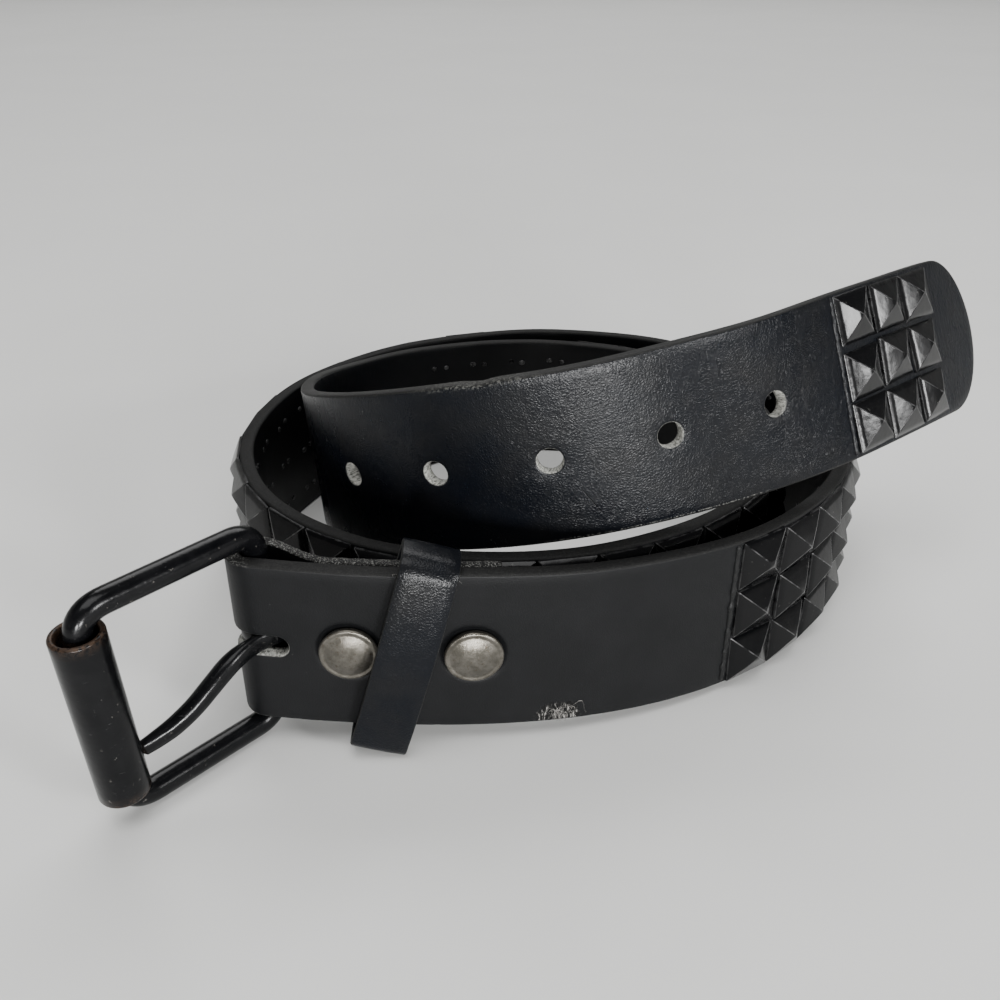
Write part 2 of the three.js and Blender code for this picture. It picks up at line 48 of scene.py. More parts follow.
SEAT_GAP = 0.3
WIRE_DIAMETER = 5.2
EYE_RADIUS = 2.95
BUCKLE_LIFT = 6.8
LIFT_RUN = 0.21
ROUTE_PLACE = (-71.022, -62.646)
HALF_STRAP = STRAP_THICKNESS / 2
BEND_LENGTH = np.pi * (EYE_RADIUS + FOLDED_THICKNESS / 2)
HOLE_SPACING = 25.4
HOLES = [950.5 - HOLE_SPACING * k for k in range(5)]
HOLE_RADIUS = 2.8
SNAPS = [18.6, 43.5]
SLOT_REACH = 6.49
SLOT_RADIUS = 2.45
STUD_PITCH = 13
STUD_ROWS = (-12.4, 0, 12.4)
STUD_SIZE = (12.75, 12.1)
TIP_STUD_SIZE = (12.75, 11.3)
STUD_FOOT = HALF_STRAP + 0.2
FIELD_START = 102
FIELD_COLUMNS = 25
TIP_BLOCK = 972
TIP_COLUMNS = 3
KEEPER_AT = 29.5
KEEPER_WIDTH = 11.8
KEEPER_WALL = 1.5
KEEPER_TILT = np.radians(16)
KEEPER_FOOT = 2.9
KEEPER_BOW = 2.0
FRAME_SWING = 232.5
FRAME_REACH = 36.6
FRAME_HEIGHT = 46.1
HEEL_BEND = 5.4
FAR_BEND = 6.4
FAR_LEAN = np.tan(np.radians(2.5))
ROLLER_HALF = 19.3
ROLLER_RADIUS = 5.0
ROLLER_BORE = 3.9
TONGUE_SWING = -8.5
TONGUE_REACH = 30.2
TONGUE_DROP = 12.2

# Steps of the strap's grid: rows across it, columns in the rounded tip, and how far the cells
# that are replaced reach round the slot and round a snap.
STRAP_ROWS = 19
END_COLUMNS = 8
SLOT_BLOCK = 10.5
SNAP_BLOCK = 8.3

# Marks on the leather, as distances from the heel bar. The keeper's own pattern starts past
# the strap's end, so that it takes the tip's finish and none of its marks.
TORN_AT = 61.3
SCUFF_AT = 888.0
DENT_AT = 888.5
SCRATCH_AT = 905.0
FRAY_AT = 921.0
KEEPER_PATTERN_AT = 1100

# Route of the coil: values at each twentieth of the strap, in degrees and in strap widths.
HEADING = np.array([-4.5, 8, 32, 69, 115, 156, 192.5, 230, 271, 320, 364.5, 403, 449.5,
                    499.5, 547.5, 597, 649.5, 697.5, 736, 758, 763.5])
RISE = np.array([0] * 15 + [0.085, 0.385, 0.79, 1.065, 1.165, 1.125])
LEAN = np.array([0] * 14 + [1, 4, 4, -1, -11, -23, -25])


def route_value(values, share):
    """Smooth cubic steps through evenly spread values: between two of them a Hermite curve
    whose slope at each is half the difference of its neighbours."""
    last = len(values) - 1
    i = np.clip((share * last).astype(int), 0, last - 1)
    t = share * last - i
    slope = np.gradient(values.astype(float))
    ease = t * t * (3 - 2 * t)
    bend = t * (1 - t) * ((1 - t) * slope[i] - t * slope[i + 1])
    return values[i] * (1 - ease) + values[i + 1] * ease + bend


def smooth(low, high, value):
    """0 below low, 1 above high, and 3t^2 - 2t^3 between."""
    t = np.clip((value - low) / (high - low), 0, 1)
    return t * t * (3 - 2 * t)


def walk_route():
    """The strap's middle line in millimetre steps: each step goes along the heading, shortened
    by the climb, whose sine is the rise over the last step."""
    shares = np.arange(STRAP_LENGTH + 1) / STRAP_LENGTH
    rise = STRAP_WIDTH * np.maximum(0, route_value(RISE, shares))
    before = STRAP_WIDTH * np.maximum(0, route_value(RISE, np.maximum(0, shares - shares[1])))
    climb = np.arcsin(rise - before)
    heading = np.radians(route_value(HEADING, shares))
    lean = np.radians(route_value(LEAN, shares))
    lift = BUCKLE_LIFT * np.maximum(0, 1 - shares / LIFT_RUN) ** 2
    plan = np.stack([np.cos(heading), np.sin(heading)], 1) * np.cos(climb)[:, None]
    place = np.concatenate([np.zeros((1, 2)), np.cumsum(plan, 0)[:-1]]) + ROUTE_PLACE
    return np.column_stack([place, STRAP_WIDTH / 2 + rise + lift, heading, lean, climb])


ROUTE = walk_route()


def run_frame(at):
    """Frame of the run at distances from the heel bar: middle, outward side, way up the width.
    Outward is the side of the heading turned by the lean about the strap's direction."""
    values = [np.interp(at, np.arange(STRAP_LENGTH + 1), column) for column in ROUTE.T]
    x, y, z, heading, lean, climb = [value[..., None] for value in values]
    flat = np.zeros_like(heading)
    beside = np.concatenate([np.sin(heading), -np.cos(heading), flat], -1)
    ahead = np.concatenate([np.cos(heading), np.sin(heading), flat], -1)
    rising = -np.sin(climb) * ahead
    rising[..., 2:] = np.cos(climb)
    out = beside * np.cos(lean) - rising * np.sin(lean)
    up = rising * np.cos(lean) + beside * np.sin(lean)
    return np.concatenate([x, y, z], -1), out, up


HEEL_MIDDLE, HEEL_OUT = run_frame(np.array(0.0))[:2]
HEEL_CENTRE = HEEL_MIDDLE - HEEL_OUT * (EYE_RADIUS + HALF_STRAP)
HEEL_HEADING = np.radians(HEADING[0])
HEEL_AHEAD = np.array([np.cos(HEEL_HEADING), np.sin(HEEL_HEADING), 0])


def leather_thickness(along):
    """Run thickness from the heel bar on, thinning round the bar to the turned-back leather."""
    turned = np.clip(1 + along / BEND_LENGTH, 0, 1)
    return FOLDED_THICKNESS + (STRAP_THICKNESS - FOLDED_THICKNESS) * turned


def strap_point(along, across, outward):
    """A point of the leather: middle + up * across + out * outward. Below 0 the leather goes
    half a turn round the heel bar, and below that it lies back along the run."""
    at = np.where(along >= 0, along, np.maximum(0, -along - BEND_LENGTH))
    middle, out, up = run_frame(at)
    settled = HALF_STRAP + SEAT_GAP + FOLDED_THICKNESS / 2
    over_bar = HALF_STRAP + 2 * EYE_RADIUS + FOLDED_THICKNESS / 2
    back = over_bar + (settled - over_bar) * smooth(0, FOLD_SETTLE, at)
    angle = np.pi * np.clip(1 + along / BEND_LENGTH, 0, 1)[..., None]
    round_out = -HEEL_OUT * np.cos(angle) - HEEL_AHEAD * np.sin(angle)
    reach = EYE_RADIUS + leather_thickness(along) / 2
    round_middle = HEEL_CENTRE + round_out * reach[..., None]
    on_run = (along >= 0)[..., None]
    on_bend = ((along < 0) & (along > -BEND_LENGTH))[..., None]
    lying_back = middle - out * back[..., None]
    middle = np.where(on_run, middle, np.where(on_bend, round_middle, lying_back))
    out = np.where(on_run, out, np.where(on_bend, round_out, -out))
    return middle + up * across[..., None] + out * outward[..., None]


def make_piece(name, body, finish, points, faces, uv=None, values=None):
    """A mesh from a table of points in millimetres and tables of faces with three or four
    corners; points that no face uses are left out. uv and values are given for each point."""
    corners = np.concatenate([table.ravel() for table in faces])
    sizes = np.concatenate([np.full(len(table), table.shape[1]) for table in faces])
    used, corners = np.unique(corners, return_inverse=True)
    mesh = bpy.data.meshes.new(name)
    mesh.vertices.add(len(used))
    mesh.vertices.foreach_set("co", (points[used] * MM).astype(np.float32).ravel())
    mesh.loops.add(len(corners))
    mesh.loops.foreach_set("vertex_index", corners.astype(np.int32).ravel())
    mesh.polygons.add(len(sizes))
    starts = np.concatenate([[0], np.cumsum(sizes)[:-1]])
    mesh.polygons.foreach_set("loop_start", starts.astype(np.int32))
    mesh.update(calc_edges=True)
    mesh.polygons.foreach_set("use_smooth", np.ones(len(sizes), bool))
    if uv is not None:
        layer = mesh.uv_layers.new(name="piece")
        layer.data.foreach_set("uv", uv[used][corners.ravel()].astype(np.float32).ravel())
    for key, value in (values or {}).items():
        attribute = mesh.attributes.new(key, "FLOAT", "POINT")
        attribute.data.foreach_set("value", value[used].astype(np.float32))
    mesh.validate()
    mesh.update()
    piece = bpy.data.objects.new(name, mesh)
    bpy.context.scene.collection.objects.link(piece)
    mesh.materials.append(finish)
    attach(piece, body)
    return piece


def grid_quads(index, round_rows=False, round_columns=False):
    """Quads of a table of point numbers: corners (i, j), (i+1, j), (i+1, j+1), (i, j+1)."""
    if round_rows:
        index = np.vstack([index, index[:1]])
    if round_columns:
        index = np.column_stack([index, index[:, :1]])
    quads = [index[:-1, :-1], index[1:, :-1], index[1:, 1:], index[:-1, 1:]]
    return np.stack(quads, -1).reshape(-1, 4)


def loop_round(i0, i1, j0, j1):
    """Grid places round a block of cells, anticlockwise from its first corner."""
    low = [(i, j0) for i in range(i0, i1)]
    right = [(i1, j) for j in range(j0, j1)]
    high = [(i, j1) for i in range(i1, i0, -1)]
    left = [(i0, j) for j in range(j1, j0, -1)]
    return np.array(low + right + high + left)


# An eight-cornered ring closed with three quads.
OCTAGON = ([0, 1, 2, 3], [0, 3, 4, 7], [4, 5, 6, 7])


def ring_quads(index):
    """Quads between neighbouring rings of many closed tubes, numbered tube, ring, side."""
    rolled = np.roll(index, -1, 2)
    quads = [index[:, :-1], rolled[:, :-1], rolled[:, 1:], index[:, 1:]]
    return np.stack(quads, -1).reshape(-1, 4)


def fan(ring):
    """Triangles from the first point of a ring to its others."""
    return np.stack([np.full(len(ring) - 2, ring[0]), ring[1:-1], ring[2:]], 1)


def unit(steps):
    """Vectors made one long."""
    return steps / np.linalg.norm(steps, axis=-1, keepdims=True)


def round_turn(steps):
    """Angles of even steps round a circle."""
    return np.arange(steps) * 2 * np.pi / steps


def curve_through(rows, steps):
    """Smooth cubic steps through rows of values, `steps` to each gap."""
    rows = np.asarray(rows, float)
    share = np.linspace(0, 1, (len(rows) - 1) * steps + 1)
    return np.stack([route_value(column, share) for column in rows.T], 1)


def rounded_path(corners, rounding, bend_steps, side_steps):
    """A closed flat path of straight sides, joined at each corner by the quadratic bend
    (1-t)^2 * start + 2t(1-t) * corner + t^2 * end, whose ends lie `rounding` from the corner."""
    path = []
    for k, corner in enumerate(corners):
        before, after = corners[k - 1], corners[(k + 1) % 4]
        start = corner + unit(before - corner) * rounding[k]
        end = corner + unit(after - corner) * rounding[k]
        following = after + unit(corner - after) * rounding[(k + 1) % 4]
        t = np.linspace(0, 1, bend_steps)[:, None]
        path.append((1 - t) ** 2 * start + 2 * t * (1 - t) * corner + t * t * end)
        t = np.linspace(0, 1, side_steps[k])[1:-1, None]
        path.append(end + (following - end) * t)
    return np.concatenate(path)


def outward_of(path):
    """Unit steps out of a closed flat path, square to the line between each point's neighbours."""
    ahead = unit(np.roll(path, -1, 0) - np.roll(path, 1, 0))
    return np.stack([ahead[:, 1], -ahead[:, 0]], 1)


# Materials

def new_finish(name, color, roughness, metallic=0.0, specular=0.5):
    """A material of one colour, for a Pattern to work on."""
    finish = bpy.data.materials.new(name)
    finish.use_nodes = True
    shader = finish.node_tree.nodes["Principled BSDF"]
    shader.inputs["Base Color"].default_value = (*color, 1)
    shader.inputs["Roughness"].default_value = roughness
    shader.inputs["Metallic"].default_value = metallic
    shader.inputs["Specular IOR Level"].default_value = specular
    return finish


class Pattern:
    """Adds nodes to one material. A value given as a socket is linked, a number is set."""

    def __init__(self, finish):
        self.tree = finish.node_tree
        self.shader = self.tree.nodes["Principled BSDF"]

    def put(self, kind, inputs, output=0, **settings):
        node = self.tree.nodes.new("ShaderNode" + kind)
        for key, value in settings.items():
            setattr(node, key, value)
        for key, value in inputs.items():
            self.give(node.inputs[key], value)
        return node.outputs[output]

    def give(self, socket, value):
        if isinstance(value, bpy.types.NodeSocket):
            self.tree.links.new(value, socket)
        else:
            socket.default_value = value

    def math(self, operation, *values):
        return self.put("Math", dict(enumerate(values)), operation=operation)

    def times(self, first, second):
        return self.math("MULTIPLY", first, second)

    def plus(self, first, second):
        return self.math("ADD", first, second)

    def band(self, value, low, high, to_low=0.0, to_high=1.0):
        """value moved from low..high to to_low..to_high, smoothly and clamped."""
        inputs = {0: value, 1: low, 2: high, 3: to_low, 4: to_high}
        return self.put("MapRange", inputs, interpolation_type="SMOOTHSTEP")

    def near(self, value, middle, inside, outside):
        """1 within `inside` of the middle, 0 beyond `outside`."""
        away = self.math("ABSOLUTE", self.math("SUBTRACT", value, middle))
        return self.band(away, inside, outside, 1.0, 0.0)

    def mix(self, share, first, second):
        first = (*first, 1) if isinstance(first, tuple) else first
        second = (*second, 1) if isinstance(second, tuple) else second
        inputs = {0: share, 6: first, 7: second}
        return self.put("Mix", inputs, output=2, data_type="RGBA")

    def noise(self, place, scale, detail=4.0, roughness=0.55):
        inputs = {"Vector": place, "Scale": scale, "Detail": detail, "Roughness": roughness}
        return self.put("TexNoise", inputs)

    def cells(self, place, scale, feature="DISTANCE_TO_EDGE"):
        return self.put("TexVoronoi", {"Vector": place, "Scale": scale}, feature=feature)

    def stretch(self, place, scale):
        return self.put("Mapping", {"Vector": place, "Scale": scale})

    def attribute(self, name):
        return self.put("Attribute", {}, output=2, attribute_name=name)

    def bump(self, height, distance, strength=1.0, below=None):
        inputs = {"Height": height, "Distance": distance, "Strength": strength}
        if below is not None:
            inputs["Normal"] = below
        return self.put("Bump", inputs)

    def finish(self, **sockets):
        for key, value in sockets.items():
            self.give(self.shader.inputs[key.replace("_", " ")], value)


def object_place(pattern):
    """Object coordinates in millimetres."""
    place = pattern.put("TexCoord", {}, output=3)
    return pattern.put("VectorMath", {0: place, 3: 1000.0}, operation="SCALE")


def leather_finish():
    """Black bonded leather. Its pattern lies in millimetres along and across the strap."""
    finish = new_finish("black_leather", (0.005, 0.005, 0.006), 0.45, specular=0.17)
    p = Pattern(finish)
    uv = p.put("UVMap", {}, uv_map="piece")
    along = p.put("SeparateXYZ", {0: uv}, output=0)
    across = p.put("SeparateXYZ", {0: uv}, output=1)
    depth = p.attribute("depth")
    side = p.attribute("side")
    wall = p.attribute("wall")
    place = p.put("CombineXYZ", {0: along, 1: across, 2: depth})
    front = p.band(side, 0.3, 0.9)
    edge = p.near(side, 0.0, 0.15, 0.6)
    tip = p.band(along, 700.0, 830.0)
    folded = p.band(along, 1.0, -3.0)

    warped = p.put("VectorMath", {0: place, 1: p.put("VectorMath", {
        0: p.put("TexNoise", {"Vector": place, "Scale": 0.35, "Detail": 2.0}, output=1),
        3: 1.6}, operation="SCALE")}, operation="ADD")
    pebbles = p.band(p.cells(warped, 1.7), 0.0, 0.35)
    fine = p.noise(place, 2.6, 3.0)
    soft = p.noise(p.stretch(place, (0.12, 0.05, 0.1)), 1.0, 3.0)
    creases = p.noise(p.stretch(warped, (1.0, 0.25, 0.5)), 1.0, 5.0, 0.65)
    worn = p.noise(place, 0.08, 5.0, 0.6)

    # The base colour turns bluer from 700 to 830 mm along the strap, and on the keeper.
    tip_tone = p.mix(tip, (0.0030, 0.0033, 0.0036), (0.0018, 0.0026, 0.0044))
    base = p.mix(p.band(worn, 0.35, 0.75), tip_tone, (0.0048, 0.0050, 0.0056))
    base = p.mix(p.times(p.band(pebbles, 0.4, 0.0), 0.35), base, (0.004, 0.004, 0.005))

    # Dust and nicks: small pale specks scattered thinly.
    specks = p.band(p.cells(place, 0.32, "F1"), 0.06, 0.035)
    thin = p.band(p.noise(place, 0.11, 2.0), 0.56, 0.66)
    base = p.mix(p.times(specks, p.times(thin, 0.55)), base, (0.16, 0.16, 0.15))

    # Cut edges: matte charcoal, raw and speckled where the leather is turned back.
    grit = p.noise(place, 3.4, 3.0, 0.7)
    cut = p.mix(p.band(grit, 0.4, 0.75), (0.006, 0.006, 0.006), (0.020, 0.020, 0.019))
    raw = p.mix(p.band(grit, 0.50, 0.68), (0.010, 0.010, 0.010), (0.25, 0.25, 0.235))
    cut = p.mix(folded, cut, raw)
    base = p.mix(edge, base, cut)

    # The tip's upper edge is scuffed before the third hole, its lower edge frayed in a dotted line.
    upper = p.band(across, 17.6, 18.6)
    rubbed = p.times(p.near(along, SCUFF_AT, 3.0, 17.0), upper)
    dotted = p.band(p.noise(place, 1.9, 3.0, 0.7), 0.47, 0.60)
    base = p.mix(p.times(p.times(rubbed, dotted), 0.3), base, (0.22, 0.22, 0.20))
    frayed = p.times(p.near(across, -18.45, 0.10, 0.32), p.near(along, FRAY_AT, 20.0, 27.0))
    base = p.mix(p.times(p.times(frayed, dotted), front), base, (0.13, 0.13, 0.12))

    # A scratch below the third hole.
    slant = p.plus(p.times(p.math("SUBTRACT", along, SCRATCH_AT), 1.85), p.plus(across, 7.5))
    scratch = p.times(p.near(slant, 0.0, 0.08, 0.3), p.near(across, -10.8, 2.6, 3.4))
    base = p.mix(p.times(scratch, front), base, (0.002, 0.002, 0.002))

    # The torn place at the lower edge, behind its fibres: a ragged oval streaked down its length.
    streaks = p.noise(p.stretch(place, (1.0, 0.22, 1.0)), 1.7, 4.0, 0.7)
    spread = p.plus(p.times(p.math("SUBTRACT", along, TORN_AT), 0.24),
                    p.times(p.math("SUBTRACT", p.noise(place, 0.9, 3.0), 0.5), 1.3))
    fall = p.plus(p.times(p.plus(across, 17.9), 0.27),
                  p.times(p.math("SUBTRACT", streaks, 0.5), 1.2))
    reach = p.math("SQRT", p.plus(p.times(spread, spread), p.times(fall, fall)))
    torn = p.times(p.band(reach, 1.25, 0.95), front)
    fluff = p.mix(p.band(streaks, 0.52, 0.66), (0.0015, 0.0015, 0.0015), (0.34, 0.33, 0.31))
    base = p.mix(torn, base, fluff)

    # Punched walls show pale fibres.
    fibres = p.noise(p.stretch(place, (2.2, 2.2, 0.7)), 1.3, 4.0, 0.7)
    pale = p.mix(p.band(fibres, 0.34, 0.60), (0.06, 0.06, 0.055), (0.50, 0.50, 0.46))
    base = p.mix(wall, base, pale)

    rough = p.plus(p.times(soft, 0.14), p.band(tip, 0.0, 1.0, 0.38, 0.21))
    rough = p.plus(rough, p.times(p.math("MAXIMUM", edge, wall), 0.28))
    height = p.plus(p.times(pebbles, p.band(tip, 0.0, 1.0, 0.22, 0.5)),
                    p.times(creases, p.times(p.band(tip, 0.0, 1.0, 0.15, 1.5),
                                             p.band(along, 1040.0, 1090.0, 1.0, 0.2))))
    height = p.plus(height, p.times(fine, 0.18))
    rugged = p.math("MAXIMUM", p.times(edge, folded), p.math("MAXIMUM", wall, torn))
    rugged = p.times(rugged, grit)
    height = p.plus(height, p.times(rugged, 7.0))
    height = p.math("SUBTRACT", height, p.times(scratch, 1.5))
    p.finish(Base_Color=base, Roughness=rough, Normal=p.bump(height, 0.00006, 0.8))
    return finish


def stud_finish():
    """Black glossy paint on pressed metal, rubbed to grey along the ridges and at the rims."""
    finish = new_finish("stud_finish", (0.012, 0.012, 0.013), 0.22, specular=0.22)
    p = Pattern(finish)
    uv = p.put("UVMap", {}, uv_map="piece")
    u = p.math("ABSOLUTE", p.put("SeparateXYZ", {0: uv}, output=0))
    v = p.math("ABSOLUTE", p.put("SeparateXYZ", {0: uv}, output=1))
    place = object_place(p)
    seed = p.attribute("seed")
    ridge = p.near(p.math("SUBTRACT", u, v), 0.0, 0.010, 0.045)
    rim = p.band(p.math("MAXIMUM", u, v), 0.965, 0.995)
    patchy = p.band(p.noise(place, 0.35, 4.0, 0.7), 0.38, 0.62)
    wear = p.times(p.math("MAXIMUM", ridge, p.times(rim, 0.3)), patchy)
    tone = p.mix(seed, (0.0012, 0.0013, 0.0016), (0.0030, 0.0030, 0.0033))
    base = p.mix(p.times(wear, 0.45), tone, (0.17, 0.17, 0.17))
    chip = p.band(p.noise(place, 1.3, 3.0, 0.6), 0.70, 0.74)
    base = p.mix(p.times(chip, 0.5), base, (0.12, 0.12, 0.11))
    smear = p.noise(p.stretch(place, (0.3, 0.3, 0.1)), 1.0, 4.0)
    rough = p.plus(p.times(smear, 0.12), p.times(wear, 0.15))
    p.finish(Base_Color=base, Roughness=p.plus(rough, 0.13),
             Metallic=p.times(wear, 0.5),
             Normal=p.bump(p.noise(place, 0.3, 3.0, 0.5), 0.00014, 0.5))
    return finish


def nickel_finish():
    """Tarnished nickel: warm grey, mottled, with brown patches and fine scratches."""
    finish = new_finish("snap_nickel", (0.30, 0.28, 0.25), 0.4, 0.85)
    p = Pattern(finish)
    place = object_place(p)
    mottle = p.noise(place, 0.42, 6.0, 0.65)
    spots = p.noise(place, 1.7, 4.0, 0.7)
    base = p.mix(p.band(mottle, 0.35, 0.65), (0.086, 0.080, 0.067), (0.140, 0.131, 0.114))
    base = p.mix(p.band(spots, 0.55, 0.72), base, (0.075, 0.058, 0.040))
    rub = p.noise(p.stretch(place, (3.0, 1.0, 0.6)), 1.6, 3.0)
    rough = p.plus(p.times(mottle, 0.25), 0.20)
    height = p.plus(spots, p.times(rub, 0.6))
    p.finish(Base_Color=base, Roughness=rough, Normal=p.bump(height, 0.00006, 0.7))
    return finish


def enamel_finish():
    """Glossy black enamel on the buckle's steel, chipped to grey-brown in a few places."""
    finish = new_finish("buckle_enamel", (0.004, 0.004, 0.005), 0.2, specular=0.20)
    p = Pattern(finish)
    place = object_place(p)
    worn = p.attribute("worn")
    flow = p.noise(place, 0.22, 4.0, 0.55)
    chips = p.band(p.noise(place, 0.75, 5.0, 0.7), 0.655, 0.685)
    fine = p.band(p.noise(p.stretch(place, (0.5, 0.5, 3.0)), 1.2, 3.0, 0.7), 0.66, 0.72)
    rubbed = p.times(worn, p.band(p.noise(place, 0.9, 4.0, 0.7), 0.36, 0.60))
    base = p.mix(p.band(flow, 0.3, 0.7), (0.0014, 0.0015, 0.0019), (0.0032, 0.0033, 0.0038))
    base = p.mix(p.times(chips, 0.6), base, (0.10, 0.095, 0.085))
    base = p.mix(p.times(fine, 0.25), base, (0.09, 0.09, 0.09))
    base = p.mix(p.times(rubbed, 0.8), base, (0.080, 0.050, 0.033))
    rough = p.plus(p.times(flow, 0.18), p.times(rubbed, 0.25))
    p.finish(Base_Color=base, Roughness=p.plus(rough, 0.13),
             Metallic=p.times(rubbed, 0.6),
             Normal=p.bump(p.noise(place, 0.7, 3.0, 0.5), 0.00009, 0.5))
    return finish


def fibre_finish():
    """Pale torn leather fibres."""
    finish = new_finish("leather_fibres", (0.5, 0.48, 0.45), 0.8)
    p = Pattern(finish)
    tone = p.noise(object_place(p), 1.4, 3.0, 0.6)
    p.finish(Base_Color=p.mix(p.band(tone, 0.3, 0.7), (0.10, 0.097, 0.09), (0.50, 0.48, 0.45)))
    return finish


def floor_finish():
    """Pale ground, faintly and broadly uneven."""
    finish = new_finish("pale_floor", (0.72, 0.72, 0.70), 0.9)
    p = Pattern(finish)
    place = object_place(p)
    broad = p.noise(place, 0.006, 3.0, 0.5)
    p.finish(Base_Color=p.mix(broad, (0.70, 0.70, 0.685), (0.75, 0.75, 0.735)),
             Normal=p.bump(broad, 0.006, 0.5))
    return finish


LEATHER = leather_finish()
STUDS = stud_finish()
NICKEL = nickel_finish()
ENAMEL = enamel_finish()
FIBRES = fibre_finish()


# Strap

def strap_stations():
    """Distances of the strap's cross-sections. Each row: where a stretch ends, and its steps;
    punched holes and snaps fall on a station."""
    back_end = -BEND_LENGTH - FOLDED_LENGTH + EDGE_ROUNDING
    stretches = [
        (-BEND_LENGTH - SLOT_BLOCK, 18), (-BEND_LENGTH, 7), (0, 14), (SLOT_BLOCK, 7),
        (SNAPS[0], 4), (SNAPS[1], 12), (SNAPS[1] + SNAP_BLOCK, 4),
        (HOLES[-1] - HOLE_SPACING / 2, 356), (HOLES[0] + HOLE_SPACING / 2, 60),
        (STRAP_LENGTH - TIP_ROUNDING, 24),
    ]
    stations = [back_end]
    for end, steps in stretches:
        stations += list(np.linspace(stations[-1], end, steps + 1)[1:])
    return np.array(stations)


def face_grid():
    """Flat face of the strap, as distances along and across. Rows are spread over the width
    inside the rounding; the last columns fill the rounded tip as
    along = start + a*p*sqrt(1 - f^2/2), across = b*f*sqrt(1 - p^2/2)."""
    rows = np.linspace(-1, 1, STRAP_ROWS)
    half = STRAP_WIDTH / 2 - EDGE_ROUNDING
    stations = strap_stations()
    along, across = np.meshgrid(stations, rows * half, indexing="ij")
    p, f = np.meshgrid(np.arange(1, END_COLUMNS + 1) / END_COLUMNS, rows, indexing="ij")
    reach = TIP_ROUNDING - EDGE_ROUNDING
    tip_along = stations[-1] + reach * p * np.sqrt(1 - f * f / 2)
    tip_across = half * f * np.sqrt(1 - p * p / 2)
    return np.vstack([along, tip_along]), np.vstack([across, tip_across])


def border_normals(along, across):
    """Which way the outline faces, in the flat strap: across it along the sides, straight back
    at the cut end, and square to the ellipse ((along - start)/a, across/b) at the tip."""
    past = along - (STRAP_LENGTH - TIP_ROUNDING)
    half = STRAP_WIDTH / 2 - EDGE_ROUNDING
    reach = TIP_ROUNDING - EDGE_ROUNDING
    touching = 0.01
    sideways = np.where(np.abs(across) > half - touching, np.sign(across), 0)
    back = np.where(along < along.min() + touching, -1.0, 0.0)
    normal = np.where((past > 0)[:, None],
                      np.stack([past / reach ** 2, across / half ** 2], 1),
                      np.stack([back, sideways], 1))
    return unit(normal)


